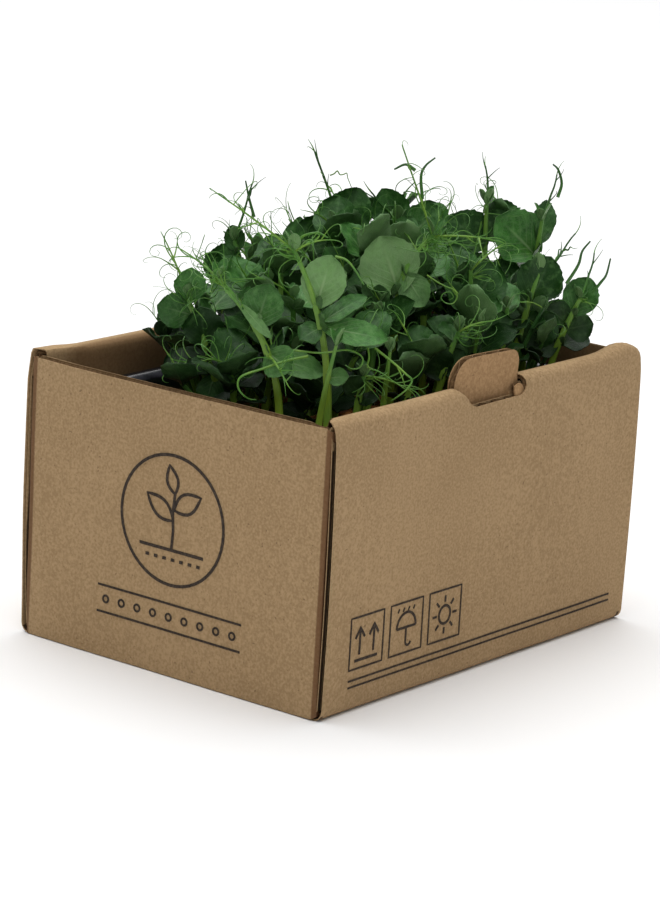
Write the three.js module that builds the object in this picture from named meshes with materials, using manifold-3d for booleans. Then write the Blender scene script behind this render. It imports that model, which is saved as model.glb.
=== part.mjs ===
// A punnet of pea shoots as it is sold: a folded corrugated carton, the growing tray that
// stands in it, the growing mat with its sown peas, and the living shoots that stand in the mat.
// Millimetres, +Z up. The origin is the middle of the carton's underside; +X runs along the
// two long walls and the notched long wall faces -Y.
import * as THREE from 'three';
import { mergeVertices } from 'three/addons/utils/BufferGeometryUtils.js';
import Module from 'manifold-3d';

const wasm = await Module();
wasm.setup();

// Driving dimensions of the carton, of C-flute board
const BOARD = 3.8;
const CARTON_LENGTH = 188;
const CARTON_DEPTH = 143;
const RIDGE_HEIGHT = 108; // top of the two rolled long walls
const SIDE_HEIGHT = 105.2; // top of the two single short walls
const ROLL_THICKNESS = 11.8; // outer panel, trapped flap and inner panel together
const ROLL_SHOULDER = 14; // how far below the ridge the rolled wall starts to taper
const RIDGE_INSET = 3.2; // ridge behind the outer face
const FLAP_INSET = 3.2; // crease of a short wall behind the long wall's outer face
const CORNER_SEAM = 0.8; // open gap beside that crease

// Lug left standing when the notched wall was rolled over
const LUG_LEFT = -20.5;
const LUG_RIGHT = 19;
const LUG_TOP = 117.8;
const LUG_INSET = 4.9; // lug's face behind the outer face
const NOTCH_FLOOR = 100.8;
const NOTCH_LEFT = -21.4;
const NOTCH_RIGHT = 19.8;

// Growing tray, drawn a little thicker than the thin sheet it is formed from
const TRAY_LENGTH = 175;
const TRAY_DEPTH = 115;
const TRAY_TOP = 95;
const TRAY_WALL = 1.4;
const TRAY_RIM = 6; // flat rim all round
const TRAY_LIP = 4; // how far the rim turns down
const TRAY_TAPER = 4; // how much the foot is smaller all round
const TRAY_CORNER = 16;
const CORNER_STEPS = 4;
const GAP = 0.3; // free gap between pieces that touch

// Growing mat and stems
const MAT_TOP = 88;
const MAT_FOOT = BOARD + GAP + TRAY_WALL + GAP; // it stands on the tray's floor
const ROOT_DEPTH = 7;
const PEA_RADIUS = 3.6;
const PEAS_TRIED = 60;
const STEM_BEND = 1.6;
const STEM_SIDES = 4; // pea stems are four-angled
const STEM_RADIUS = 1.7;
const STEM_TIP_RADIUS = 0.95;
const BLADE_THICKNESS = 0.7;
const TENDRIL_RADIUS = 0.6;
const TENDRIL_SWING = 0.2;
const FORKED_LENGTH = 20;
const FORKS = [[0.5, 75], [0.7, -75]]; // place along the tendril and turn to the side
const SHOOT_SPACING = 18.5;
const ROOTS_LENGTH = 148; // the stems root within this length and depth of the mat
const ROOTS_DEPTH = 86;
const LEAF_STEPS = 3;
const BARE_CORNER = 70; // nothing came up beyond this line across the left back corner

const KRAFT = new THREE.MeshStandardMaterial({ color: 0xa5855f, roughness: 0.85, metalness: 0 });
const BLACK_PLASTIC = new THREE.MeshStandardMaterial({ color: 0x0c0c10, roughness: 0.18, metalness: 0 });
const MAT_BROWN = new THREE.MeshStandardMaterial({ color: 0x2a1a10, roughness: 0.95, metalness: 0 });
const LEAF_GREEN = new THREE.MeshStandardMaterial({ color: 0x2f6b33, roughness: 0.5, metalness: 0 });

// ---- closed meshes and solids ----

function geometryOf(points, triangles) {
  const geometry = new THREE.BufferGeometry();
  geometry.setAttribute('position', new THREE.Float32BufferAttribute(points.flat(), 3));
  geometry.setIndex(triangles.flat());
  return geometry;
}

function solidOf(geometry) {
  geometry.deleteAttribute('normal');
  geometry.deleteAttribute('uv');
  const merged = mergeVertices(geometry, 1e-4);
  const mesh = new wasm.Mesh({
    numProp: 3,
    vertProperties: new Float32Array(merged.attributes.position.array),
    triVerts: new Uint32Array(merged.index.array),
  });
  return new wasm.Manifold(mesh);
}

function meshOf(name, solid, material) {
  const result = solid.getMesh();
  const geometry = new THREE.BufferGeometry();
  geometry.setAttribute('position', new THREE.BufferAttribute(new Float32Array(result.vertProperties), 3));
  geometry.setIndex(new THREE.BufferAttribute(new Uint32Array(result.triVerts), 1));
  const mesh = new THREE.Mesh(geometry, material);
  mesh.name = name;
  return mesh;
}

// A closed skin over rings of points that run anticlockwise seen from the last ring
function loft(rings) {
  const count = rings[0].length;
  const points = rings.flat();
  const triangles = [];
  for (let ring = 0; ring < rings.length - 1; ring += 1) {
    for (let side = 0; side < count; side += 1) {
      const a = ring * count + side;
      const b = ring * count + ((side + 1) % count);
      triangles.push([a, b, b + count], [a, b + count, a + count]);
    }
  }
  const last = (rings.length - 1) * count;
  for (let side = 1; side < count - 1; side += 1) {
    triangles.push([0, side + 1, side], [last, last + side, last + side + 1]);
  }
  return geometryOf(points, triangles);
}

function box(low, high) {
  const size = high.map((value, axis) => value - low[axis]);
  const geometry = new THREE.BoxGeometry(...size);
  geometry.translate(...high.map((value, axis) => (value + low[axis]) / 2));
  return solidOf(geometry);
}

// A profile of [y, z] points drawn out along X
function alongLength(profile, from, to) {
  const shape = new THREE.Shape(profile.map(([y, z]) => new THREE.Vector2(y, z)));
  const geometry = new THREE.ExtrudeGeometry(shape, { depth: to - from, bevelEnabled: false });
  geometry.rotateX(Math.PI / 2);
  geometry.rotateZ(Math.PI / 2);
  geometry.translate(from, 0, 0);
  return solidOf(geometry);
}

// A shape of x and z drawn out along Y
function alongDepth(shape, from, to) {
  const geometry = new THREE.ExtrudeGeometry(shape, {
    depth: to - from,
    bevelEnabled: false,
    curveSegments: 4,
  });
  geometry.rotateX(Math.PI / 2);
  geometry.translate(0, to, 0);
  return solidOf(geometry);
}

// ---- carton ----

// Rolled long wall at -Y: straight outer face, pinched fold on top, full thickness below
function rolledWall() {
  const face = -CARTON_DEPTH / 2;
  const shoulder = RIDGE_HEIGHT - ROLL_SHOULDER;
  const profile = [
    [face, 0],
    [face + ROLL_THICKNESS, 0],
    [face + ROLL_THICKNESS, shoulder],
    [face + ROLL_THICKNESS - 2.2, RIDGE_HEIGHT - 5],
    [face + RIDGE_INSET + 2.4, RIDGE_HEIGHT - 0.8],
    [face + RIDGE_INSET, RIDGE_HEIGHT],
    [face + RIDGE_INSET - 2, RIDGE_HEIGHT - 1.2],
    [face + 0.3, RIDGE_HEIGHT - 6],
    [face, shoulder],
  ];
  const tunnel = [
    [face + 3.2, shoulder],
    [face + 8, shoulder],
    [face + 7.4, RIDGE_HEIGHT - 7],
    [face + 4.4, RIDGE_HEIGHT - 3.6],
    [face + 3, RIDGE_HEIGHT - 6],
  ];
  const half = CARTON_LENGTH / 2;
  return alongLength(profile, -half, half).subtract(alongLength(tunnel, -half - 1, half + 1));
}

function notchShape() {
  const radius = (RIDGE_HEIGHT - NOTCH_FLOOR) / 2 + 0.6;
  const shape = new THREE.Shape();
  shape.moveTo(NOTCH_LEFT - 4, RIDGE_HEIGHT + 1);
  shape.lineTo(NOTCH_LEFT, RIDGE_HEIGHT - 0.5);
  shape.quadraticCurveTo(NOTCH_LEFT + 3.5, RIDGE_HEIGHT - 1.5, NOTCH_LEFT + 5, NOTCH_FLOOR + 3);
  shape.lineTo(NOTCH_LEFT + 9, NOTCH_FLOOR);
  shape.lineTo(NOTCH_RIGHT - radius, NOTCH_FLOOR);
  shape.absarc(NOTCH_RIGHT - radius, NOTCH_FLOOR + radius, radius, -Math.PI / 2, Math.PI / 2, false);
  shape.lineTo(NOTCH_RIGHT - radius, RIDGE_HEIGHT + 1);
  shape.closePath();
  return shape;
}

function lugShape() {
  const shape = new THREE.Shape();
  shape.moveTo(LUG_LEFT, RIDGE_HEIGHT - 12);
  shape.lineTo(LUG_RIGHT, RIDGE_HEIGHT - 12);
  shape.lineTo(LUG_RIGHT + 0.3, LUG_TOP - 4);
  shape.quadraticCurveTo(LUG_RIGHT, LUG_TOP - 0.4, LUG_RIGHT - 4.5, LUG_TOP - 0.2);
  shape.lineTo(LUG_LEFT + 9, LUG_TOP);
  shape.quadraticCurveTo(LUG_LEFT + 1.5, LUG_TOP - 0.2, LUG_LEFT, RIDGE_HEIGHT);
  shape.closePath();
  return shape;
}

function carton() {
  const length = CARTON_LENGTH / 2;
  const depth = CARTON_DEPTH / 2;
  const crease = depth - FLAP_INSET;
  const face = -depth;
  const notched = rolledWall()
    .subtract(alongDepth(notchShape(), face - 1, face + LUG_INSET))
    .add(alongDepth(lugShape(), face + LUG_INSET, face + LUG_INSET + BOARD));
  const plain = rolledWall().rotate([0, 0, 180]);
  let blank = box([-length, -depth, 0], [length, depth, BOARD]).add(notched).add(plain);
  for (const side of [-1, 1]) {
    const outer = side * length;
    const inner = side * (length - BOARD);
    const span = [Math.min(outer, inner), Math.max(outer, inner)];
    blank = blank.add(box([span[0], -crease + 1, 0], [span[1], crease - 1, SIDE_HEIGHT]));
    for (const end of [-1, 1]) {
      const seam = [end * crease, end * (crease + CORNER_SEAM)].sort((a, b) => a - b);
      const cut = [span[0] - 1, span[1] + 1];
      cut[side < 0 ? 1 : 0] = inner;
      blank = blank.subtract(box([cut[0], seam[0], BOARD], [cut[1], seam[1], RIDGE_HEIGHT - 8]));
    }
  }
  return blank;
}

// ---- growing tray and mat ----

function roundedRing(halfLength, halfDepth, corner, z) {
  const shape = new THREE.Shape();
  shape.moveTo(halfLength, -halfDepth + corner);
  shape.lineTo(halfLength, halfDepth - corner);
  shape.absarc(halfLength - corner, halfDepth - corner, corner, 0, Math.PI / 2, false);
  shape.absarc(-halfLength + corner, halfDepth - corner, corner, Math.PI / 2, Math.PI, false);
  shape.absarc(-halfLength + corner, -halfDepth + corner, corner, Math.PI, 1.5 * Math.PI, false);
  shape.absarc(halfLength - corner, -halfDepth + corner, corner, 1.5 * Math.PI, 2 * Math.PI, false);
  const ring = shape.getPoints(CORNER_STEPS).map((point) => [point.x, point.y, z]);
  const distinct = ring.filter((point, place) => {
    const before = ring[(place + ring.length - 1) % ring.length];
    return Math.hypot(point[0] - before[0], point[1] - before[1]) > 1e-3;
  });
  return distinct;
}

// The same ring drawn in by an inset
function trayRing(inset, z) {
  return roundedRing(TRAY_LENGTH / 2 - inset, TRAY_DEPTH / 2 - inset, TRAY_CORNER - inset, z);
}

function tray() {
  const foot = BOARD + GAP;
  return solidOf(loft([
    trayRing(TRAY_RIM + TRAY_TAPER, foot),
    trayRing(TRAY_RIM, TRAY_TOP - TRAY_WALL),
    trayRing(TRAY_WALL, TRAY_TOP - TRAY_WALL),
    trayRing(TRAY_WALL * 0.7, TRAY_TOP - TRAY_LIP),
    trayRing(0, TRAY_TOP - TRAY_LIP),
    trayRing(0.8, TRAY_TOP),
    trayRing(TRAY_RIM + 0.6, TRAY_TOP),
    trayRing(TRAY_RIM + TRAY_WALL, TRAY_TOP - 1),
    trayRing(TRAY_RIM + TRAY_TAPER + TRAY_WALL, foot + TRAY_WALL),
  ]));
}

// Inside width of the tray falls from the rim to the foot
function matInset(z) {
  const drop = (TRAY_TOP - z) / (TRAY_TOP - BOARD);
  return TRAY_RIM + TRAY_WALL + 0.6 + TRAY_TAPER * drop;
}

// ---- how the shoots grow ----

// The shoots that stand out, set by hand. A leaf is [place along the stem, heading, lift,
// length, width, roll]; a tendril is [place, heading, lift, length, droop]. Angles in degrees.
const MAIN_SHOOTS = [
  {
    root: [-1, -24],
    top: [10, -31, 154],
    bend: 7,
    leaves: [
      [0.68, 127, 69, 22, 23, -85],
      [0.79, -83, -48, 14, 12, 60],
      [0.52, 112, 48, 19, 10, -70],
      [0.45, -50, 60, 13, 10, 0],
      [0.4, -101, -47, 11, 12, 65],
      [0.41, -68, 0, 14, 9, 15],
    ],
    tendrils: [
      [1, 130, 68, 36, 0],
      [1, -60, 10, 24, 0.2],
    ],
  },
  {
    root: [-61, -42],
    top: [-70, -30, 158],
    bend: 2.6,
    leaves: [
      [0.72, -46, 77, 19, 16, 80],
      [0.62, -65, -2, 24, 14, 50],
      [0.62, 157, -24, 9, 10, -30],
      [0.64, -42, 36, 19, 9, 30],
      [0.36, -73, 14, 8, 7, 60],
    ],
    tendrils: [
      [1, 130, 35, 32, 0],
      [1, -40, 35, 13, 0.3],
    ],
  },
  {
    root: [-73, -30],
    top: [-87, -10, 147],
    bend: 2.6,
    leaves: [
      [0.86, -82, -37, 17, 8, 60],
      [0.72, -42, 74, 16, 15, 80],
      [0.57, -85, -26, 11, 13, 60],
      [0.54, -64, -3, 22, 11, 50],
      [0.5, 130, -25, 12, 10, 0],
    ],
    tendrils: [
      [1, 130, 25, 18, 0],
      [0.55, -130, 10, 18, 0.5],
    ],
  },
  {
    root: [-63, 5],
    top: [-72, 16, 133],
    leaves: [
      [0.63, -175, 72, 15, 15, -145],
      [0.87, 140, 15, 14, 13, -80],
      [0.98, -130, 75, 13, 12, 170],
      [0.39, -165, -55, 12, 10, -25],
      [0.52, 135, -5, 17, 12, -40],
    ],
    tendrils: [
      [0.5, 150, 10, 18, 0.3],
      [1, 100, 70, 22, 0],
    ],
  },
  {
    root: [-10, 30],
    top: [-18, 40, 144],
    leaves: [
      [0.83, 145, 15, 14, 14, -80],
      [0.93, 130, 75, 10, 8, -90],
      [0.59, 130, 40, 16, 15, -80],
      [0.56, -25, 50, 15, 14, 60],
    ],
    tendrils: [
      [1, -50, 75, 22, 0],
    ],
  },
  {
    root: [26, 18],
    top: [21, 23, 153],
    leaves: [
      [0.8, 128, 27, 18, 15, -80],
      [0.86, -31, 68, 20, 17, 65],
      [0.68, 130, 10, 15, 14, -40],
      [0.6, -50, 25, 16, 15, 80],
    ],
    tendrils: [
      [1, 130, 68, 26, 0],
    ],
  },
  {
    root: [49, 2],
    top: [43, 10, 149],
    leaves: [
      [0.92, 130, 65, 19, 15, -85],
      [0.87, -38, 44, 20, 16, 70],
      [0.73, -50, 38, 16, 15, 80],
      [0.65, 130, -30, 16, 14, -45],
    ],
    tendrils: [
      [1, 130, 45, 16, 0],
    ],
  },
  {
    root: [63, -18],
    top: [62, -17, 158],
    leaves: [
      [0.76, 130, 40, 18, 18, -80],
      [0.8, -25, 48, 15, 13, 60],
      [0.62, 140, 20, 15, 13, -80],
      [0.58, -50, 15, 15, 14, 75],
    ],
    tendrils: [
      [1, 20, 70, 15, 0],
    ],
  },
  {
    root: [74, -30],
    top: [75, -34, 153],
    leaves: [
      [0.79, 117, 53, 22, 21, -80],
      [0.86, -15, 66, 19, 10, 50],
      [0.63, 130, 15, 15, 13, -75],
      [0.6, -20, 0, 14, 12, 40],
    ],
    tendrils: [
      [1, -40, 72, 18, 0],
    ],
  },
  {
    root: [52, -40],
    top: [57, -47, 138],
    leaves: [
      [0.76, -75, 68, 19, 18, 105],
      [0.66, 60, 45, 14, 12, 60],
      [0.44, -60, 40, 18, 15, 90],
      [0.44, 130, 30, 14, 11, -80],
    ],
    tendrils: [
      [0.9, -50, 50, 22, -0.1],
    ],
  },
  {
    root: [29, -38],
    top: [28, -36, 140],
    leaves: [
      [0.71, -37, 63, 20, 17, 70],
      [0.7, 100, 67, 19, 13, -60],
      [0.56, -60, 20, 16, 13, 80],
      [0.5, 160, -5, 13, 11, -70],
    ],
    tendrils: [
      [1, -50, 50, 16, 0.2],
    ],
  },
  {
    root: [69, -45],
    top: [72, -56, 127],
    leaves: [
      [0.82, -36, 66, 16, 14, 65],
      [0.68, -60, 15, 11, 12, 80],
      [0.52, -50, 5, 13, 10, 35],
      [0.5, 150, -5, 12, 10, -35],
      [0.74, 150, 35, 13, 12, -95],
    ],
    tendrils: [
      [1, -20, 65, 18, 0],
    ],
  },
  {
    root: [-2, -45],
    top: [2, -51, 123],
    leaves: [
      [0.5, 170, 60, 14, 13, -125],
      [0.55, -61, 53, 11, 13, 90],
      [0.85, 40, 30, 13, 12, 20],
    ],
    tendrils: [
      [1, -50, 35, 14, 0.3],
    ],
  },
  {
    root: [-50, -45],
    top: [-48, -47, 113],
    leaves: [
      [0.62, -70, 25, 8, 6, 45],
      [0.75, 165, 45, 9, 8, -110],
      [0.92, 30, 35, 10, 9, 50],
    ],
    tendrils: [
      [1, -60, 0, 16, 0.3],
    ],
  },
  {
    root: [-16, -30],
    top: [-18, -33, 114],
    leaves: [
      [0.72, -20, 30, 11, 9, 40],
      [0.9, 134, 24, 9, 9, -80],
    ],
    tendrils: [
      [1, -110, 30, 12, 0.3],
    ],
  },
];

// Repeatable random draws
const DRAW_FACTOR = 16807;
const DRAW_RANGE = 2147483647;
let drawn = 73462;
function draw(low, high) {
  drawn = (drawn * DRAW_FACTOR) % DRAW_RANGE;
  return low + ((high - low) * drawn) / DRAW_RANGE;
}

// The canopy is highest behind the middle and sinks towards the edges
function canopyHeight(x, y) {
  const across = x - 35;
  const deep = y - 12;
  return 64 - 0.0032 * across * across - 0.0085 * deep * deep;
}

function within(value, limit) {
  return Math.max(-limit, Math.min(limit, value));
}

// The other shoots fill the tray on a shaken grid and lean outwards
function sownShoots() {
  const rows = Math.floor((TRAY_DEPTH - 2 * TRAY_RIM - 8) / SHOOT_SPACING);
  const columns = Math.floor((TRAY_LENGTH - 2 * TRAY_RIM - 8) / SHOOT_SPACING);
  const shoots = [];
  for (let row = 0; row <= rows; row += 1) {
    for (let column = 0; column <= columns; column += 1) {
      const x = within((column - columns / 2) * SHOOT_SPACING + draw(-4, 4), ROOTS_LENGTH / 2);
      const y = within((row - rows / 2) * SHOOT_SPACING + draw(-3, 3), ROOTS_DEPTH / 2);
      const height = canopyHeight(x, y) + draw(-9, 7);
      const top = [x * 1.06 + draw(-7, 7), y * 1.1 + draw(-6, 6), MAT_TOP + height];
      const turn = draw(0, 180);
      const crowded = MAIN_SHOOTS.some((main) => Math.hypot(main.root[0] - x, main.root[1] - y) < 11);
      const bareCorner = y - 0.8 * x > BARE_CORNER;
      if (!crowded && !bareCorner) {
        shoots.push({ root: [x, y], top, leaves: sownLeaves(turn), tendrils: sownTendrils(turn) });
      }
    }
  }
  return shoots;
}

// Pairs of opposite leaves, each pair turned against the one below it
function sownLeaves(turn) {
  const leaves = [];
  const pairs = [
    [0.42, 13, 10],
    [0.66, 19, 30],
    [0.9, 18, 45],
  ];
  pairs.forEach(([place, length, lift], pair) => {
    for (const side of [0, 180]) {
      const heading = turn + side + pair * 75 + draw(-20, 20);
      const long = length + draw(-2, 3);
      leaves.push([place, heading, lift + draw(-15, 15), long, long * draw(0.8, 0.98), draw(-35, 35)]);
    }
  });
  return leaves;
}

function sownTendrils(turn) {
  return [[1, turn + draw(-60, 60), draw(40, 75), draw(10, 18), draw(-0.1, 0.3)]];
}

// ---- shapes of stem, blade and tendril ----

const RADIAN = Math.PI / 180;

// The stem rises straight and leans over towards its top; a higher bend leans later
function stemPoint(shoot, place) {
  const lean = Math.max(place, 0) ** (shoot.bend ?? STEM_BEND);
  return new THREE.Vector3(
    shoot.root[0] + (shoot.top[0] - shoot.root[0]) * lean,
    shoot.root[1] + (shoot.top[1] - shoot.root[1]) * lean,
    MAT_TOP + (shoot.top[2] - MAT_TOP) * place,
  );
}

function direction(heading, lift) {
  const level = Math.cos(lift * RADIAN);
  return new THREE.Vector3(
    Math.cos(heading * RADIAN) * level,
    Math.sin(heading * RADIAN) * level,
    Math.sin(lift * RADIAN),
  );
}

function bladeOf(shoot, [place, heading, lift, length, width, roll]) {
  const along = direction(heading, lift);
  const level = direction(heading, lift + 90);
  const aside = new THREE.Vector3().crossVectors(along, level);
  const facing = level.multiplyScalar(Math.cos(roll * RADIAN));
  facing.addScaledVector(aside, Math.sin(roll * RADIAN));
  const across = new THREE.Vector3().crossVectors(along, facing);
  return { base: stemPoint(shoot, place), along, facing, across, length, width };
}

// Half width of a pea leaf along its midrib, 0 at the base and 1 at the tip
function halfWidth(blade, reach) {
  const swell = Math.sin(Math.PI * reach ** 0.85) ** 0.7;
  return Math.max(BLADE_THICKNESS, (blade.width / 2) * swell);
}

// A point of the blade: it arches back towards its tip and its edges turn up
function bladePoint(blade, reach, side) {
  const half = reach < 1 ? halfWidth(blade, reach) : 0;
  const rise = 0.1 * blade.width * side * side * reach - 0.12 * blade.length * reach * reach;
  return blade.base.clone()
    .addScaledVector(blade.along, blade.length * reach)
    .addScaledVector(blade.across, half * side)
    .addScaledVector(blade.facing, rise);
}

// A tendril sags and swings aside towards its tip
function tendrilPoint(tendril, reach) {
  const bent = tendril.length * reach * reach;
  return tendril.base.clone()
    .addScaledVector(tendril.along, tendril.length * reach)
    .addScaledVector(tendril.aside, TENDRIL_SWING * bent)
    .add(new THREE.Vector3(0, 0, -tendril.droop * bent));
}

// Long tendrils fork twice, once to each side
function tendrilOf(shoot, [place, heading, lift, length, droop]) {
  const aside = direction(heading + 90, 0);
  const tendril = { base: stemPoint(shoot, place), along: direction(heading, lift), aside, length, droop };
  const forks = length < FORKED_LENGTH ? [] : FORKS.map(([reach, turn]) => ({
    base: tendrilPoint(tendril, reach),
    along: direction(heading + turn, lift - 35),
    aside,
    length: length * 0.4,
    droop: 0,
  }));
  return { ...tendril, forks };
}

// ---- keeping the shoots clear of each other and of the carton ----

const BEAD_STEP = 1.8;
const STEM_BEAD = 1.7;
const BLADE_BEAD = 1.3;
const TENDRIL_BEAD = 1;
const BEAD_CELL = 2 * STEM_BEAD;
const JOINT_REACH = 9; // leaves of one shoot may meet this near to their stem
const FEWEST_LEAVES = 3; // a shoot that finds room for fewer is thinned out
const beadGrid = new Map();

function stemBeads(shoot) {
  const count = Math.ceil((shoot.top[2] - MAT_TOP) / BEAD_STEP);
  const beads = [];
  for (let step = 0; step <= count; step += 1) {
    beads.push({ point: stemPoint(shoot, step / count), radius: STEM_BEAD, joined: true });
  }
  return beads;
}

function bladeBeads(blade) {
  const count = Math.ceil(blade.length / BEAD_STEP);
  const beads = [];
  for (let step = 1; step <= count; step += 1) {
    const reach = step / count;
    const across = Math.max(1, Math.ceil((2 * halfWidth(blade, Math.min(reach, 0.999))) / BEAD_STEP));
    for (let place = 0; place <= across; place += 1) {
      const point = bladePoint(blade, reach, (2 * place) / across - 1);
      beads.push({ point, radius: BLADE_BEAD, joined: reach * blade.length < JOINT_REACH });
    }
  }
  return beads;
}

function tendrilBeads(tendril) {
  const beads = [];
  for (const branch of [tendril, ...tendril.forks]) {
    const count = Math.ceil((2 * branch.length) / BEAD_STEP);
    for (let step = 1; step <= count; step += 1) {
      beads.push({ point: tendrilPoint(branch, step / count), radius: TENDRIL_BEAD, joined: true });
    }
  }
  return beads;
}

function cellOf(point) {
  return [point.x, point.y, point.z].map((value) => Math.floor(value / BEAD_CELL));
}

function meets(bead, owner) {
  const [i, j, k] = cellOf(bead.point);
  for (let di = -1; di <= 1; di += 1) {
    for (let dj = -1; dj <= 1; dj += 1) {
      for (let dk = -1; dk <= 1; dk += 1) {
        for (const other of beadGrid.get(`${i + di},${j + dj},${k + dk}`) ?? []) {
          const own = other.owner === owner;
          const near = bead.point.distanceTo(other.point) < bead.radius + other.radius;
          if (near && !(own && (bead.joined || other.joined))) {
            return true;
          }
        }
      }
    }
  }
  return false;
}

// Whether a point in the tray's mouth is clear of its rim and its rounded corners
function insideTray(x, y) {
  const inset = TRAY_RIM + TRAY_WALL + STEM_BEAD;
  const cornerX = Math.max(x - (TRAY_LENGTH / 2 - TRAY_CORNER), 0);
  const cornerY = Math.max(y - (TRAY_DEPTH / 2 - TRAY_CORNER), 0);
  return Math.hypot(cornerX, cornerY) < TRAY_CORNER - inset;
}

// Whether a point is free of the carton, the lug, the tray's rim and the mat
function inTheOpen(point) {
  const x = Math.abs(point.x);
  const y = Math.abs(point.y);
  if (point.z < MAT_TOP + 3 || x > CARTON_LENGTH / 2 - 1.5 || y > CARTON_DEPTH / 2 - 1.5) {
    return false;
  }
  if (point.z < TRAY_TOP + 2) {
    return insideTray(x, y);
  }
  if (point.z < RIDGE_HEIGHT + 2) {
    return x < CARTON_LENGTH / 2 - BOARD - 2 && y < CARTON_DEPTH / 2 - ROLL_THICKNESS - 2;
  }
  const overLug = point.x > LUG_LEFT - 2 && point.x < LUG_RIGHT + 2 && point.y < -CARTON_DEPTH / 2 + 11;
  return point.z > LUG_TOP + 2 || !overLug;
}

function keep(beads, owner) {
  for (const bead of beads) {
    const cell = cellOf(bead.point).join(',');
    beadGrid.set(cell, [...(beadGrid.get(cell) ?? []), { ...bead, owner }]);
  }
}

function isFree(beads, owner) {
  return beads.every((bead) => inTheOpen(bead.point) && !meets(bead, owner));
}

// A leaf that would cross another is turned clear, then made smaller, and in the end left out
const TURNS = [0, 15, -15, 30, -30, 50, -50];
const TILTS = [0, 6, 12, -10, 20, -20, 25];
const SIZES = [1, 0.8, 0.62];

function fitBlade(shoot, leaf, owner) {
  const [place, heading, lift, length, width, roll] = leaf;
  for (const size of SIZES) {
    for (let turn = 0; turn < TURNS.length; turn += 1) {
      const tried = [place, heading + TURNS[turn], lift + TILTS[turn], length * size, width * size, roll];
      const blade = bladeOf(shoot, tried);
      const beads = bladeBeads(blade);
      if (isFree(beads, owner)) {
        keep(beads, owner);
        return blade;
      }
    }
  }
  return null;
}

function fitTendril(shoot, [place, heading, lift, length, droop], owner) {
  for (const size of SIZES) {
    for (const turn of TURNS) {
      const tendril = tendrilOf(shoot, [place, heading + turn, lift, length * size, droop]);
      const beads = tendrilBeads(tendril);
      if (isFree(beads, owner)) {
        keep(beads, owner);
        return tendril;
      }
    }
  }
  return null;
}

// Stems of a group come up first, then each of them unfolds its leaves and tendrils
function growGroup(seedlings, grown) {
  const standing = [];
  for (const seedling of seedlings) {
    const owner = grown.length + standing.length;
    const beads = stemBeads(seedling);
    if (beads.every((bead) => !meets(bead, owner))) {
      keep(beads, owner);
      standing.push(seedling);
    }
  }
  const unfolded = standing.map((shoot, place) => {
    const owner = grown.length + place;
    const blades = shoot.leaves.map((leaf) => fitBlade(shoot, leaf, owner));
    const curls = shoot.tendrils.map((tendril) => fitTendril(shoot, tendril, owner));
    return { ...shoot, blades: blades.filter(Boolean), curls: curls.filter(Boolean) };
  });
  return [...grown, ...unfolded.filter((shoot) => shoot.blades.length >= FEWEST_LEAVES)];
}

// ---- solids of a shoot ----

function stemSolid(shoot) {
  const places = [-ROOT_DEPTH / (shoot.top[2] - MAT_TOP), 0, 0.4, 0.7, 1];
  const rings = places.map((place) => {
    const centre = stemPoint(shoot, place);
    const radius = STEM_RADIUS + (STEM_TIP_RADIUS - STEM_RADIUS) * Math.max(place, 0);
    return ringAround(centre, new THREE.Vector3(1, 0, 0), new THREE.Vector3(0, 1, 0), radius, STEM_SIDES);
  });
  return solidOf(loft(rings));
}

function ringAround(centre, first, second, radius, sides) {
  const ring = [];
  for (let side = 0; side < sides; side += 1) {
    const angle = (2 * Math.PI * side) / sides;
    const point = centre.clone()
      .addScaledVector(first, radius * Math.cos(angle))
      .addScaledVector(second, radius * Math.sin(angle));
    ring.push(point.toArray());
  }
  return ring;
}

// A thin plate on the leaf's outline, split into the same cross strips on both faces
function bladeSolid(blade) {
  const steps = blade.length > 14 ? LEAF_STEPS : LEAF_STEPS - 1;
  const right = [];
  const left = [];
  for (let step = 1; step <= steps; step += 1) {
    const reach = step / (steps + 0.75);
    right.push(bladePoint(blade, reach, 1));
    left.push(bladePoint(blade, reach, -1));
  }
  const outline = [bladePoint(blade, 0, 0), ...right, bladePoint(blade, 1, 0), ...left.reverse()];
  const count = outline.length;
  const strips = [];
  for (let step = 0; step <= steps; step += 1) {
    const mirrored = (count - step) % count;
    strips.push([step, step + 1, count - step - 1]);
    if (step > 0 && step < steps) {
      strips.push([step, count - step - 1, mirrored]);
    }
  }
  strips[strips.length - 1] = [steps, steps + 1, count - steps];
  const lift = blade.facing.clone().multiplyScalar(BLADE_THICKNESS / 2);
  const upper = outline.map((point) => point.clone().add(lift).toArray());
  const lower = outline.map((point) => point.clone().sub(lift).toArray());
  const triangles = [];
  for (const [a, b, c] of strips) {
    triangles.push([a, b, c], [count + c, count + b, count + a]);
  }
  for (let side = 0; side < count; side += 1) {
    const next = (side + 1) % count;
    triangles.push([side, count + side, count + next], [side, count + next, next]);
  }
  return solidOf(geometryOf([...upper, ...lower], triangles));
}

function tubeSolid(points, radius) {
  const rings = points.map((point, place) => {
    const before = points[Math.max(place - 1, 0)];
    const after = points[Math.min(place + 1, points.length - 1)];
    const along = after.clone().sub(before).normalize();
    const first = new THREE.Vector3(-along.y, along.x, 0).normalize();
    const second = new THREE.Vector3().crossVectors(along, first);
    const taper = 1 - (0.3 * place) / (points.length - 1);
    return ringAround(point, first, second, radius * taper, 3);
  });
  return solidOf(loft(rings));
}

function tendrilSolid(tendril) {
  const reaches = [0, 0.35, 0.7, 1];
  let solid = tubeSolid(reaches.map((reach) => tendrilPoint(tendril, reach)), TENDRIL_RADIUS);
  for (const fork of tendril.forks) {
    solid = solid.add(tubeSolid([tendrilPoint(fork, 0), tendrilPoint(fork, 1)], TENDRIL_RADIUS * 0.8));
  }
  return solid;
}

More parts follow.
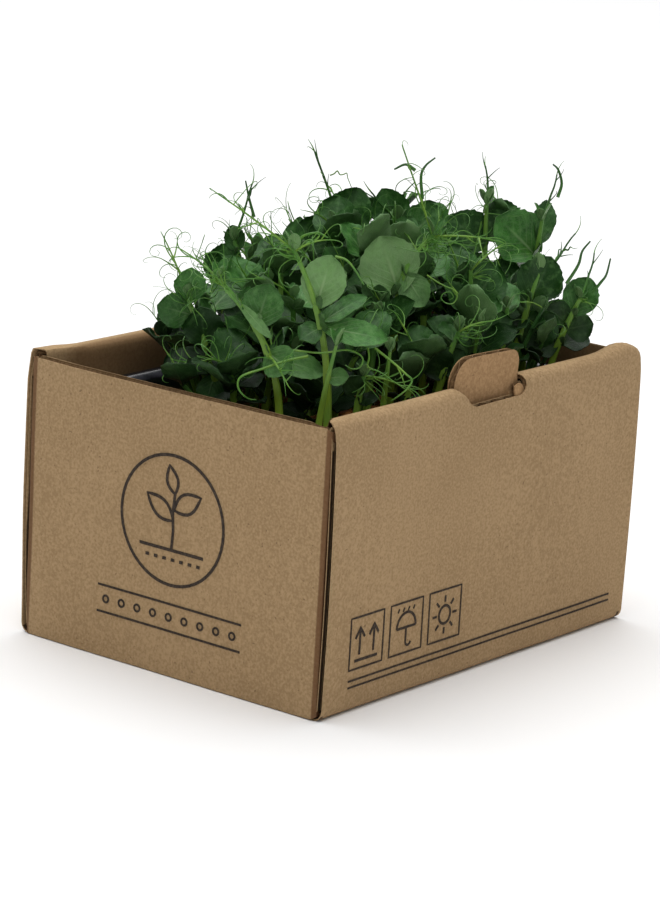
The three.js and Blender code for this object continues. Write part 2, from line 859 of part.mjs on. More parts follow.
function shootSolid(shoot) {
  let solid = stemSolid(shoot);
  for (const blade of shoot.blades) {
    solid = solid.add(bladeSolid(blade));
  }
  for (const tendril of shoot.curls) {
    solid = solid.add(tendrilSolid(tendril));
  }
  return solid;
}

// ---- the mat, with a plain hole for each stem and the sown peas standing out of it ----

function growingMat(shoots) {
  const rings = [MAT_FOOT, MAT_TOP - 3, MAT_TOP].map((z) => trayRing(matInset(z), z));
  let mat = solidOf(loft(rings));
  for (const shoot of shoots) {
    const x = new THREE.Vector3(1, 0, 0);
    const y = new THREE.Vector3(0, 1, 0);
    const foot = stemPoint(shoot, 0).setZ(MAT_TOP - ROOT_DEPTH - 1);
    const mouth = stemPoint(shoot, 0).setZ(MAT_TOP + 1);
    const hole = [foot, mouth].map((centre) => ringAround(centre, x, y, STEM_RADIUS + 0.6, STEM_SIDES));
    mat = mat.subtract(solidOf(loft(hole)));
  }
  for (const seed of sownPeas(shoots)) {
    mat = mat.add(seed);
  }
  return mat;
}

// Peas that lie half sunk in the mat, clear of the stems
function sownPeas(shoots) {
  const peas = [];
  for (let tried = 0; tried < PEAS_TRIED; tried += 1) {
    const x = draw(-0.5, 0.5) * (TRAY_LENGTH - 4 * TRAY_RIM);
    const y = draw(-0.5, 0.5) * (TRAY_DEPTH - 4 * TRAY_RIM);
    const crowded = [...shoots.map((shoot) => shoot.root), ...peas].some(
      (place) => Math.hypot(place[0] - x, place[1] - y) < STEM_RADIUS + 2 * PEA_RADIUS,
    );
    if (!crowded) {
      peas.push([x, y]);
    }
  }
  return peas.map(([x, y]) => {
    const pea = new THREE.OctahedronGeometry(PEA_RADIUS, 0);
    pea.rotateZ(x);
    pea.translate(x, y, MAT_TOP);
    return solidOf(pea);
  });
}

const shoots = growGroup(sownShoots(), growGroup(MAIN_SHOOTS, []));
const punnet = new THREE.Group();
punnet.add(meshOf('carton', carton(), KRAFT));
punnet.add(meshOf('tray', tray(), BLACK_PLASTIC));
punnet.add(meshOf('growing_mat', growingMat(shoots), MAT_BROWN));
shoots.forEach((shoot, place) => {
  const name = `shoot_${String(place + 1).padStart(2, '0')}`;
  punnet.add(meshOf(name, shootSolid(shoot), LEAF_GREEN));
});

export default punnet;
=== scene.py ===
# %% [markdown]
# # A punnet of pea shoots
# A folded carton of brown corrugated board holds a glossy black growing tray. In the tray lies
# a mat sown with peas, and the shoots stand in it: stems, leaves and curling tendrils.
# The packed model is loaded first and is never changed. Every piece below is made at its real
# place around it, in metres, with Z up and the notched long wall of the carton facing -Y.

# %% The frame
import math

import bpy
import numpy as np
from mathutils import Matrix, Vector, noise


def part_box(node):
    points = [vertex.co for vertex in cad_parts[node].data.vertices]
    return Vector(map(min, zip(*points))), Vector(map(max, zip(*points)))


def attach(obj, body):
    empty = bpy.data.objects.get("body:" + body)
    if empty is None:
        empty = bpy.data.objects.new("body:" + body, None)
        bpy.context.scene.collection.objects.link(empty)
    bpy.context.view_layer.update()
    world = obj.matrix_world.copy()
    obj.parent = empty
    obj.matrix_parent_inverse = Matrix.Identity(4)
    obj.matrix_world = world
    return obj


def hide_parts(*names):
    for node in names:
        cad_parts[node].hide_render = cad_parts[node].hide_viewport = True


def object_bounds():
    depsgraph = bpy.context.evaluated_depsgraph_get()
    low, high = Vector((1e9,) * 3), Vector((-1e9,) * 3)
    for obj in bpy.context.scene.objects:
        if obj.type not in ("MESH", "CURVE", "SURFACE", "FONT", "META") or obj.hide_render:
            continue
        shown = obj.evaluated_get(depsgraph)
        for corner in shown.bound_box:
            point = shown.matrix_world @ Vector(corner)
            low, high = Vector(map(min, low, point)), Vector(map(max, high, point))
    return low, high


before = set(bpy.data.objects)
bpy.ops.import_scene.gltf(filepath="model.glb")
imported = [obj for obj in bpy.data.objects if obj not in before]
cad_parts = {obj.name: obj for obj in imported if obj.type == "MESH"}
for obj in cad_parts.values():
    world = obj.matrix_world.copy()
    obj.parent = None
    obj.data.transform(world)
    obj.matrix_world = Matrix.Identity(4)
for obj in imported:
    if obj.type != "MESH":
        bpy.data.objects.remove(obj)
CAD_BOX = [list(corner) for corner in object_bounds()]
MM = 0.001
ROOT = "root"
print(len(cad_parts), "nodes, from", CAD_BOX[0], "to", CAD_BOX[1])

# %% [markdown]
# ## Where we look from
# A camera is two things: a place and a lens. The carton is seen from above its near corner with
# a long lens, so its edges hardly converge. The place is worked out from two angles round the
# middle of the object, a distance, a small roll and a small slide sideways and upwards.

# %% The camera
AZIMUTH, ELEVATION, CAMERA_ROLL = (math.radians(angle) for angle in (-52.3466, 14.2843, 3.2984))
DISTANCE, SLIDE_RIGHT, SLIDE_UP, LOOK_HEIGHT = 1.36622, -0.001796, 0.014082, 0.054
SENSOR, FOCAL_PIXELS, PICTURE_HEIGHT = 36, 3633.28, 900

back = Vector((
    math.sin(AZIMUTH) * math.cos(ELEVATION),
    -math.cos(AZIMUTH) * math.cos(ELEVATION),
    math.sin(ELEVATION),
))
level_right = (-back).cross(Vector((0, 0, 1))).normalized()
level_up = level_right.cross(-back)
right = math.cos(CAMERA_ROLL) * level_right + math.sin(CAMERA_ROLL) * level_up
up = -math.sin(CAMERA_ROLL) * level_right + math.cos(CAMERA_ROLL) * level_up
camera_data = bpy.data.cameras.new("camera")
camera_data.sensor_width = SENSOR
camera_data.lens = FOCAL_PIXELS * SENSOR / PICTURE_HEIGHT
camera = bpy.data.objects.new("camera", camera_data)
camera.matrix_world = Matrix((right, up, back)).transposed().to_4x4()
camera.location = (
    back * DISTANCE + right * SLIDE_RIGHT + up * SLIDE_UP + Vector((0, 0, LOOK_HEIGHT))
)
bpy.context.scene.collection.objects.link(camera)
bpy.context.scene.camera = camera
print("lens", round(camera_data.lens, 1), "mm, from", [round(value, 4) for value in camera.location])

# %% [markdown]
# ## How a finish is built
# A finish is a small graph of shader nodes. Each method below adds one node, joins its inputs and
# gives back its output, so a finish reads from top to bottom like a recipe. Its patterns read
# Object coordinates, which are metres here, or a map that follows the surface.

# %% A finish and its nodes
class Finish:
    """A material with its shader; `place` is where on the object it is asked about."""

    def __init__(self, name, roughness, specular=0.5):
        self.material = bpy.data.materials.new(name)
        self.material.use_nodes = True
        self.tree = self.material.node_tree
        self.shader = self.tree.nodes["Principled BSDF"]
        self.give("Roughness", roughness)
        self.give("Specular IOR Level", specular)
        self.place = self.node("ShaderNodeTexCoord").outputs["Object"]

    def feed(self, socket, value):
        """A socket takes a number, a colour or another node's output."""
        if isinstance(value, bpy.types.NodeSocket):
            self.tree.links.new(value, socket)
        else:
            socket.default_value = value

    def give(self, socket_name, value):
        self.feed(self.shader.inputs[socket_name], value)

    def node(self, kind, inputs=None, **settings):
        made = self.tree.nodes.new(kind)
        for setting, value in settings.items():
            setattr(made, setting, value)
        for socket, value in (inputs or {}).items():
            self.feed(made.inputs[socket], value)
        return made

    def noise(self, scale, detail, stretch=(1, 1, 1)):
        """Cloudy noise of about 1 / scale metres across, stretched along the axes."""
        mapped = self.node("ShaderNodeMapping", {"Vector": self.place, "Scale": stretch})
        inputs = {"Vector": mapped.outputs[0], "Scale": scale, "Detail": detail}
        return self.node("ShaderNodeTexNoise", inputs).outputs["Fac"]

    def between(self, factor, low, high):
        """0 where a factor is low, 1 where it is high and soft in between."""
        inputs = {"Value": factor, "From Min": low, "From Max": high}
        return self.node("ShaderNodeMapRange", inputs, interpolation_type="SMOOTHSTEP").outputs[0]

    def spread(self, factor, low, high):
        """A factor from 0 to 1 as a value from low to high."""
        return self.node("ShaderNodeMapRange", {"Value": factor, "To Min": low, "To Max": high}).outputs[0]

    def mix(self, share, first, second):
        return self.node("ShaderNodeMix", {0: share, 6: first, 7: second}, data_type="RGBA").outputs[2]

    def calculate(self, operation, first, second=0.0):
        return self.node("ShaderNodeMath", {0: first, 1: second}, operation=operation).outputs[0]

    def times(self, first, second):
        return self.calculate("MULTIPLY", first, second)

    def axes(self, vector):
        return tuple(self.node("ShaderNodeSeparateXYZ", {0: vector}).outputs)

    def bump(self, height, strength, distance):
        """A height between 0 and 1 raised over a real distance."""
        inputs = {"Height": height, "Strength": strength, "Distance": distance}
        self.give("Normal", self.node("ShaderNodeBump", inputs).outputs[0])


def two_tone(name, roughness, specular, patches, edges, dark, light):
    """A finish of two colours in soft patches, which are given as (scale, detail)."""
    finish = Finish(name, roughness, specular)
    finish.give("Base Color", finish.mix(finish.between(finish.noise(*patches), *edges), dark, light))
    return finish


print("a finish has", [name for name in vars(Finish) if not name.startswith("_")])

# %% [markdown]
# ## Kraft board
# Unbleached liner is a warm grey brown. Close to, it is cloudy, with fine long fibres, a few dark
# specks of bark, and the faint ghost of the flutes pressed through from inside: a very soft row of
# bands, along X on the long walls and along Y on the short ones. Inside the board the paper is
# rougher and darker. One recipe with a few numbers serves for all of these papers, which keeps
# them of one family.

# %% Kraft liner and the paper inside it
FLUTE_PITCH = 7.9 * MM
HALF_LENGTH, HALF_DEPTH = np.array(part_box("carton")[1])[:2]
SIDE_TOP = 105.2 * MM  # of the short walls
# painted shade colours: where the walls look into the tray, and in the crease round a dust flap
INSIDE_PAINTED_SHADE, CREASE_PAINTED_SHADE = (0.13, 0.066, 0.024, 1), (0.13, 0.055, 0.022, 1)
BARK, FLUTE_SHADOW = (0.09, 0.05, 0.025, 1), (0.02, 0.011, 0.006, 1)
KRAFT_LIGHT, KRAFT_DARK = (0.455, 0.307, 0.163, 1), (0.34, 0.223, 0.112, 1)


def kraft(name, light, dark, flute_direction, open_length=91.2 * MM, open_depth=65.2 * MM,
          painted_shade_below=110 * MM, crease=90 * MM):
    """Liner, with shade painted into it inside the walls, at raw ends and round folds.

    Inside the open length and depth and below a height, where the walls look into the tray, shade
    is painted in. A shadow is painted into the hollow of the board at the raw ends of the long walls.
    Beyond the crease, where the liner is stretched round a fold, a rust-brown shade is painted.
    """
    liner = Finish(name, roughness=0.88, specular=0.22)
    clouds, pulp = liner.noise(26, 4), liner.noise(1000, 5)
    fibres = liner.between(liner.noise(900, 3, (1, 1, 0.18)), 0.55, 0.8)
    specks = liner.between(liner.noise(760, 1), 0.71, 0.76)
    every_flute = 2 * math.pi / (20 * FLUTE_PITCH)
    bands = {"Vector": liner.place, "Scale": every_flute, "Distortion": 0.6, "Detail": 1.0}
    ghost = liner.node("ShaderNodeTexWave", bands, bands_direction=flute_direction).outputs["Fac"]
    worn = liner.calculate("ADD", liner.times(clouds, 0.2), liner.times(pulp, 0.8))
    paper = liner.mix(liner.between(worn, 0.37, 0.63), dark, light)
    paper = liner.mix(liner.times(ghost, 0.12), paper, dark)
    paper = liner.mix(liner.times(fibres, 0.3), paper, [1.2 * value for value in light[:3]] + [1])
    paper = liner.mix(liner.times(specks, 0.45), paper, BARK)

    x, y, z = liner.axes(liner.place)
    x, y = liner.calculate("ABSOLUTE", x), liner.calculate("ABSOLUTE", y)
    # painted shade where the walls look into the tray: inside the open length and depth, below a height
    open_middle = liner.times(
        liner.between(x, open_length, open_length - 0.6 * MM),
        liner.between(y, open_depth, open_depth - 4 * MM),
    )
    inside = liner.times(liner.between(z, painted_shade_below, painted_shade_below - 0.3 * MM), open_middle)
    paper = liner.mix(liner.times(inside, 0.72), paper, INSIDE_PAINTED_SHADE)
    # painted shadow in the hollow between the liners at the raw ends of the long walls
    from_face = liner.calculate("SUBTRACT", HALF_DEPTH, y)
    raw_end = liner.times(liner.between(x, 90.8 * MM, 91.4 * MM), liner.between(x, 92.8 * MM, 92.65 * MM))
    raw_end = liner.times(raw_end, liner.between(z, 98 * MM, 97 * MM))
    hollow = liner.times(
        liner.between(from_face, 0.5 * MM, 0.7 * MM), liner.between(from_face, 3.2 * MM, 2.9 * MM))
    paper = liner.mix(liner.times(liner.times(raw_end, hollow), 0.9), paper, FLUTE_SHADOW)
    # painted shade in a rust brown in the crease round a dust flap
    folded = liner.between(y, crease - 0.5 * MM, crease + 0.3 * MM)
    liner.give("Base Color", liner.mix(liner.times(folded, 0.8), paper, CREASE_PAINTED_SHADE))
    liner.bump(liner.calculate("ADD", liner.times(pulp, 0.35), liner.times(ghost, 0.25)), 0.35, 0.25 * MM)
    return liner.material


liner_long = kraft("kraft_liner_long", KRAFT_LIGHT, KRAFT_DARK, "X")
liner_short = kraft("kraft_liner_short", KRAFT_LIGHT, KRAFT_DARK, "Y", open_length=93.3 * MM,
                    open_depth=67.5 * MM, painted_shade_below=SIDE_TOP + 0.35 * MM, crease=67.4 * MM)
liner_lug = kraft("kraft_liner_lug", (0.45, 0.276, 0.135, 1), (0.345, 0.205, 0.096, 1), "X")
flute_paper = kraft("kraft_flute_paper", (0.27, 0.165, 0.08, 1), (0.15, 0.088, 0.04, 1), "Z")
print("finishes:", [material.name for material in (liner_long, liner_short, liner_lug, flute_paper)])

# %% [markdown]
# ## Small tools for pieces
# Every piece goes through the same few steps: it is made the active object, shaped in edit mode,
# its modifiers are applied, and it is hung on its body. Written once, these steps stay the same
# for all of them.

# %% Selecting, thickening and hanging a piece
def only(piece):
    """Makes a piece the one selected and active object."""
    bpy.ops.object.select_all(action="DESELECT")
    bpy.context.view_layer.objects.active = piece
    piece.select_set(True)
    return piece


def start_edit(piece):
    """Edit mode, with all of the piece selected."""
    only(piece)
    bpy.ops.object.mode_set(mode="EDIT")
    bpy.ops.mesh.select_all(action="SELECT")


def end_edit():
    """Turns all faces outwards and leaves edit mode."""
    bpy.ops.mesh.select_all(action="SELECT")
    bpy.ops.mesh.normals_make_consistent(inside=False)
    bpy.ops.object.mode_set(mode="OBJECT")


def new_piece(name, points, faces):
    mesh = bpy.data.meshes.new(name)
    mesh.from_pydata(points, [], faces)
    made = bpy.data.objects.new(name, mesh)
    bpy.context.scene.collection.objects.link(made)
    return made


def thicken(piece, thickness):
    """Gives a sheet its thickness, half of it to each side."""
    solid = piece.modifiers.new("thickness", "SOLIDIFY")
    solid.thickness = thickness
    solid.offset = 0


def apply_modifiers(piece):
    only(piece)
    for modifier in list(piece.modifiers):
        bpy.ops.object.modifier_apply(modifier=modifier.name)
    bpy.ops.object.transform_apply(location=True, rotation=True, scale=True)
    return piece


def hang(piece, slot, *nodes, angle=35):
    """Finishes a piece: smooth shading, its body and the nodes it stands for; the slot is not used."""
    apply_modifiers(piece)
    bpy.ops.object.shade_smooth_by_angle(angle=math.radians(angle))
    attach(piece, ROOT)
    if nodes:
        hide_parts(*nodes)
    print(piece.name, len(piece.data.polygons), "faces")
    return piece


def joined(name, pieces):
    """Several pieces as one, which takes the first one's place."""
    bpy.context.view_layer.update()
    only(pieces[0])
    for piece in pieces:
        piece.select_set(True)
    bpy.ops.object.join()
    pieces[0].name = name
    pieces[0].data.name = name
    return pieces[0]


# %% [markdown]
# ## Corrugated board
# Real board is three papers glued together: an outer liner, a wavy medium and an inner liner.
# The cheap way is a solid slab with waves painted on its edge. Here the three papers are
# really modelled, because the cut edges are seen from close by and the hollows between them go
# dark by themselves. A flat grid primitive is laid along a fold path, one row of the grid to each
# point of the path, and a Solidify modifier gives the paper its thickness.

# %% Bending a sheet of paper along a fold path
BOARD = 3.4 * MM  # outside of one liner to the outside of the other
LINER = 0.42 * MM
MEDIUM = 0.3 * MM
COLUMNS_A_WAVE = 8


def normals_of(path):
    """Unit normals, to the left of the way a path of 2-D points runs."""
    ways = np.gradient(path, axis=0)
    ways /= np.linalg.norm(ways, axis=1)[:, None]
    return np.stack([-ways[:, 1], ways[:, 0]], axis=1)


def bent_paper(path, name, width, columns, depth_at, thickness, material):
    """A grid whose rows lie along the path and whose columns run across it."""
    bpy.ops.object.select_all(action="DESELECT")
    rows = len(path)
    bpy.ops.mesh.primitive_grid_add(x_subdivisions=rows - 1, y_subdivisions=columns, size=1)
    paper = bpy.context.object
    paper.name = name
    normals = normals_of(path)
    for vertex in paper.data.vertices:
        row = round((vertex.co.x + 0.5) * (rows - 1))
        across = width[0] + (vertex.co.y + 0.5) * (width[1] - width[0])
        vertex.co = (*(path[row] + normals[row] * depth_at(across)), across)
    thicken(paper, thickness)
    apply_modifiers(paper)
    paper.data.materials.append(material)
    return paper


def turned_upright(piece, axes):
    """Renames the axes of a bent sheet: its path lies on the first two, its width on the third."""
    for vertex in piece.data.vertices:
        vertex.co = [vertex.co[axes.index(axis)] for axis in "xyz"]
    start_edit(piece)
    end_edit()
    return piece


# %% Cutting all three papers with one outline
def plate(name, outline, start, end):
    """An outline of (x, z) points pushed through from one depth to another."""
    made = new_piece(name, [(x, start, z) for x, z in outline], [list(range(len(outline)))])
    start_edit(made)
    bpy.ops.mesh.extrude_region_move(TRANSFORM_OT_translate={"value": (0, end - start, 0)})
    end_edit()
    return made


def cut(piece, operation, outline, start, end):
    """Takes an outline pushed through the piece out of it, or keeps only what is inside it."""
    tool = plate("cutter", outline, start, end)
    boolean = piece.modifiers.new("cut", "BOOLEAN")
    boolean.operation = operation
    boolean.object = tool
    boolean.solver = "FAST"
    apply_modifiers(piece)
    bpy.data.objects.remove(tool)
    return piece


# %% Three papers as one board
def corrugated(name, path, width, liner, axes, span, trim=None, recess=(0, 0)):
    """Outer liner, wavy medium and inner liner along one fold path; the waves run along the path.

    A column of a liner is `span` waves wide. The recess is how much further in the raw edges of
    the inner liner and of the medium are than the outer liner's.
    """
    path = np.array(path, float)
    middle, swing = BOARD / 2, BOARD / 2 - LINER - MEDIUM / 2
    turns = 2 * math.pi / FLUTE_PITCH
    broad = max(int((width[1] - width[0]) / (span * FLUTE_PITCH)), 2)
    fine = int(COLUMNS_A_WAVE * (width[1] - width[0]) / FLUTE_PITCH)
    inner_width, medium_width = ((width[0] + short, width[1] - short) for short in recess)
    sheets = [
        (name, width, broad, lambda across: LINER / 2, LINER, liner),
        (name + "_inner", inner_width, broad, lambda across: BOARD - LINER / 2, LINER, liner),
        (name + "_medium", medium_width, fine, lambda across: middle + swing * math.sin(turns * across),
         MEDIUM, flute_paper),
    ]
    layers = [bent_paper(path, *sheet) for sheet in sheets]
    for layer in layers:
        turned_upright(layer, axes)
        if trim:
            cut(layer, *trim)
    return joined(name, layers)


print("board of", round(BOARD / MM, 2), "mm, with a wave every", round(FLUTE_PITCH / MM, 2), "mm")

# %% [markdown]
# ## The folded blank
# One sheet makes both long walls and the floor. It starts behind the inner panel of one wall,
# climbs it, rolls over the top, comes down outside, runs under the punnet and does the same on the
# other side. Each dust flap of the short walls is caught inside a roll. Long flat stretches get a
# few rows only, and the folds get an arc.

# %% Fold path of the blank
RIDGE = 108 * MM  # top of the rolled walls
ROLL = 11.6 * MM  # thickness of a rolled wall
FLOOR_BEND = 3.6 * MM
SHOULDER = 96 * MM  # where the wall's face starts to roll over
INNER_FOOT = 4.2 * MM
# inward from the wall's face and height: the notched wall has a soft dent under its fold, and the
# other one is highest at its inside
NEAR_RIDGE = [
    (0, 96), (0.1, 99.5), (0.55, 102.6), (0.5, 104.2), (1.1, 106), (2.3, 107.3), (4, 107.95),
    (6, 107.8), (8, 107.1), (9.6, 105.7), (10.7, 103.2), (11.3, 99), (11.6, 92),
]
FAR_RIDGE = [
    (0, 96), (0.1, 99.5), (0.4, 103), (1, 105.2), (2.3, 106.9), (4, 107.7), (6.5, 108.1), (8.8, 108.1),
    (10.3, 107.8), (11.1, 107), (11.5, 105.6), (11.6, 103), (11.6, 99), (11.6, 92),
]


def arc(centre, radius, start, end, steps):
    """Points on a round fold, from one angle to another, in degrees."""
    angles = np.radians(np.linspace(start, end, steps + 1))
    return [(centre[0] + radius * math.cos(a), centre[1] + radius * math.sin(a)) for a in angles]


def straight(start, end, steps):
    return [tuple(point) for point in np.linspace(start, end, steps + 1)[1:-1]]


def rolled_side(ridge):
    """Outside of one long wall from the floor's edge up over the roll, as (depth, height)."""
    face = HALF_DEPTH
    bend = arc((face - FLOOR_BEND, FLOOR_BEND), FLOOR_BEND, -90, 0, 4)[:-1]
    outside = [(face, FLOOR_BEND)] + straight((face, FLOOR_BEND), (face, SHOULDER), 9)
    shoulder = [(face - inward * MM, height * MM) for inward, height in ridge]
    foot = (face - ROLL, INNER_FOOT)
    return bend + outside + shoulder + straight(shoulder[-1], foot, 8) + [foot]


far_side = rolled_side(FAR_RIDGE)
near_side = [(-depth, height) for depth, height in reversed(rolled_side(NEAR_RIDGE))]
floor_run = straight(near_side[-1], far_side[0], 8)
blank_path = near_side + floor_run + far_side
print("fold path of", len(blank_path), "points")

# %% [markdown]
# ## Notch and lug
# Where the notched wall was rolled over, a lug was left standing and its outline stays behind as
# a notch. A cutter with the notch's outline takes it out of each of the board's three sheets with
# a Boolean. The cutter is a face through the outline's points, pushed through by an extrusion.

# %% Blank with its notch
def millimetres(points):
    return [(x * MM, z * MM) for x, z in points]


notch_outline = millimetres(
    [(-26.4, 112), (-25.6, 108.6), (-20.4, 107.8), (-17.8, 105.6), (-15.4, 102.9), (-13, 101.2)]
    + [(-10.8, 100.7), (1.5, 100.9), (14.9, 101)]
    + arc((15.4, 105.2), 4.3, -80, 75, 7)
    + [(14.4, 112)]
)
lug_outline = millimetres(
    [(-20.5, 92), (19, 92), (19.2, 103), (18.9, 108)]
    + arc((14.6, 112.6), 4.8, 0, 85, 5)
    + [(6, 117.6), (-4, 117.9)]
    + arc((-10.2, 107.9), 10, 95, 178, 8)
)
RAW_END = 1.2 * MM  # the long walls are cut a little short at the near corner
notch = ("DIFFERENCE", notch_outline, -HALF_DEPTH - 2 * MM, -HALF_DEPTH + 8.3 * MM)
blank = corrugated(
    "carton_blank", blank_path, (RAW_END - HALF_LENGTH, HALF_LENGTH), liner_long, "yzx", span=0.6,
    trim=notch, recess=(-0.1 * MM, 1.4 * MM),
)
print("blank with", len(blank.data.vertices), "points")

# %% [markdown]
# ## Out of true
# Folded board is never flat. Its panels swell in broad soft waves and bow most next to their raw
# ends, and the raw ends are crushed by the cutting blade. At the far end of the left wall the roll
# is pinched nearly flat. None of this changes how the pieces are joined, so each point of the
# finished mesh is only moved, by a few small rules. A `ramp` between two places fades a rule in.

# %% Swell, crush and pinch
def ramp(value, start, end):
    """0 up to the start, 1 from the end on and even in between; the end may be the lower one."""
    return min(max((value - start) / (end - start), 0), 1)


def swell(first, second, seed, size=0.45 * MM):
    """How far a panel stands out of true, in broad soft waves."""
    return size * noise.noise(Vector((first * 16, second * 16, seed)))


SET_BACK = 0.3 * MM  # all panels, so that the swell stays inside the carton's size
CRUSHED = 0.33  # how much of its thickness the board loses at its raw ends
BOW, CORNER_BOW = 0.7 * MM, 1.7 * MM  # of a long wall's ends, and more at the far left corner


def near_end(x):
    """1 at a raw end of the long walls and 0 away from it."""
    return ramp(abs(x), HALF_LENGTH - 9 * MM, HALF_LENGTH - MM)


def long_wall_swell(x, z, outward):
    """How far a long wall stands out of true; outward is 1 for the far wall and -1 for the near."""
    end = max(abs(x) / HALF_LENGTH - 0.93, 0) / 0.07
    bow = BOW * math.sin(math.pi * z / RIDGE)
    if x < 0 < outward:
        bow += CORNER_BOW * max(ramp(z, 0, 50 * MM), 0.2) * max(ramp(z, RIDGE, RIDGE - 12 * MM), 0.3)
    return swell(x, z, outward) + bow * end - SET_BACK


def pinch_at(x, y, z):
    """1 at the far end of the left wall, where the roll is pinched flat, and 0 away from it."""
    if y < 0:
        return 0
    share = ramp(-x, 72 * MM, 89 * MM)
    return share * share * (3 - 2 * share) * ramp(z, 6 * MM, 16 * MM)


def pinched_in(x, y, z):
    """How far a point inside the roll moves out towards the wall's face there."""
    return 0.5 * max(HALF_DEPTH - abs(y) - MM, 0) * pinch_at(x, y, z)


# %% Inner turns and near fold
SHORTER, ROLLED_IN = 3.9 * MM, 4.6 * MM  # the inner turns of the blank end behind the short walls


def inner_share(depth):
    """0 in the outer board of a long wall and 1 in the boards rolled inside it."""
    return ramp(depth, BOARD + 0.2 * MM, BOARD + 2.8 * MM)


def shortened(x, y, z):
    """How much nearer to the middle the inner turns of the roll end."""
    depth = HALF_DEPTH - abs(y)
    rolled = ramp(depth, 4 * MM, 11 * MM) * (z / RIDGE) ** 2
    kept = 1 - 0.8 * pinch_at(x, y, z) * ramp(z, 97 * MM, 102 * MM)
    return (inner_share(depth) * SHORTER + rolled * ROLLED_IN) * kept


def near_fold_lift(x, z):
    """The near fold is pressed down at its left, puffed up at its right and drops at its end."""
    pressed = ramp(x, -22 * MM, -47 * MM)
    puffed = math.exp(-(((x - 85 * MM) / (8 * MM)) ** 2))
    dropped = max((x - 88 * MM) / (5 * MM), 0) ** 2
    return (2.1 * puffed - 0.3 * pressed - 0.6 * dropped) * ramp(z, 97 * MM, 103 * MM) * MM


def squared_shoulder(x, y, z):
    """Height of a point once the pinch has squeezed the face of the fold up to the ridge."""
    depth = HALF_DEPTH - abs(y)
    if z <= 98 * MM or depth >= 5 * MM:
        return z
    squared = ramp(z, 98 * MM, 102 * MM) * (1 - depth / (5 * MM))
    return max(min(z + 3.4 * MM * squared * pinch_at(x, y, z), RIDGE), z)


# %% The blank out of true
for vertex in blank.data.vertices:
    spot = vertex.co
    outward = 1 if spot.y > 0 else -1
    depth = HALF_DEPTH - abs(spot.y)
    inner = inner_share(depth)
    stands_out = long_wall_swell(spot.x, spot.z, outward)
    spot.x *= 1 - shortened(*spot) / HALF_LENGTH
    if outward < 0:
        spot.z += near_fold_lift(spot.x, spot.z)
    spot.z = squared_shoulder(*spot)
    if depth < ROLL + MM:
        spot.y += pinched_in(*spot)
    if depth < BOARD + 0.2 * MM and FLOOR_BEND < spot.z < 103 * MM:
        crushed = CRUSHED * (0.3 if spot.x < 0 < outward else 1)
        stands_out += crushed * near_end(spot.x) * depth
    if depth < ROLL + MM:
        plain = swell(spot.x, spot.z, outward) - SET_BACK
        spot.y += outward * (stands_out * (1 - inner) + plain * inner)
hang(blank, "kraft_board", "carton")

# %% [markdown]
# ## Short walls and dust flaps
# A short wall is a single board, folded up from the floor. At both upright edges it is creased and
# goes on as a dust flap, which is caught inside the roll of the long wall. The flaps are cut a
# little lower, so that they clear the fold above them. The waves of the blank run along the short
# wall, so its raw top edge shows a long dark gap between the two liners. The wall is then put out
# of true like the blank, and its flaps follow the pinched roll round them.

# %% Path of a short wall
FLAP_LINE = HALF_DEPTH - BOARD - 0.2 * MM  # outer face of a flap, inside the outer panel
FLAP_LENGTH = 62 * MM
FLAP_TOP = 101 * MM
FLAP_FOOT = 3.6 * MM
CREASE = 1.8 * MM


def short_wall_path():
    """Seen from above, from the tip of one flap round the wall to the tip of the other."""
    corner = (HALF_LENGTH - CREASE, FLAP_LINE - CREASE)
    tip = (HALF_LENGTH - FLAP_LENGTH, FLAP_LINE)
    bend = arc(corner, CREASE, 90, 0, 4)
    half = [tip] + straight(tip, bend[0], 5) + bend
    other = [(x, -y) for x, y in reversed(half)]
    return half + straight(half[-1], other[0], 16) + other


def short_wall_swell(y, z, side):
    return swell(y, z, 7 + side, 0.7 * MM) - SET_BACK


print("path of", len(short_wall_path()), "points")

# %% The raw top edge and the corners of a short wall
TOP_SPREAD = 0.6 * MM  # the inner liner stands up past the outer one
NEAR_CORNER_DIP, LEFT_DIP = 1.5 * MM, 0.5 * MM


def top_edge_lift(inside, y, z, side):
    """How far a point near the raw top edge moves up or down; inside is its depth in the wall."""
    lift = 0
    if z > SIDE_TOP - MM and BOARD - LINER - 0.05 * MM < inside < BOARD + 0.1 * MM:
        lift += TOP_SPREAD
    if z > SIDE_TOP - MM and inside > BOARD - LINER - 0.1 * MM:
        lift -= NEAR_CORNER_DIP * ramp(-y, 64 * MM, 66 * MM)
    if side < 0 and abs(y) < 66 * MM and z > 0.9 * SIDE_TOP:
        lift -= LEFT_DIP * ramp(abs(y), 66 * MM, 56 * MM)
    return lift


def flap_share(inside, y, side):
    """1 on a dust flap, 0 on the wall, and in part at the creases between them."""
    on_flap = ramp(inside, 5 * MM, 11 * MM)
    if side < 0 < y:
        return on_flap
    return max(on_flap, 0.35 * ramp(abs(y), 67 * MM, 69 * MM))


print("a flap is", round((SIDE_TOP - FLAP_TOP) / MM, 1), "mm lower than its wall")

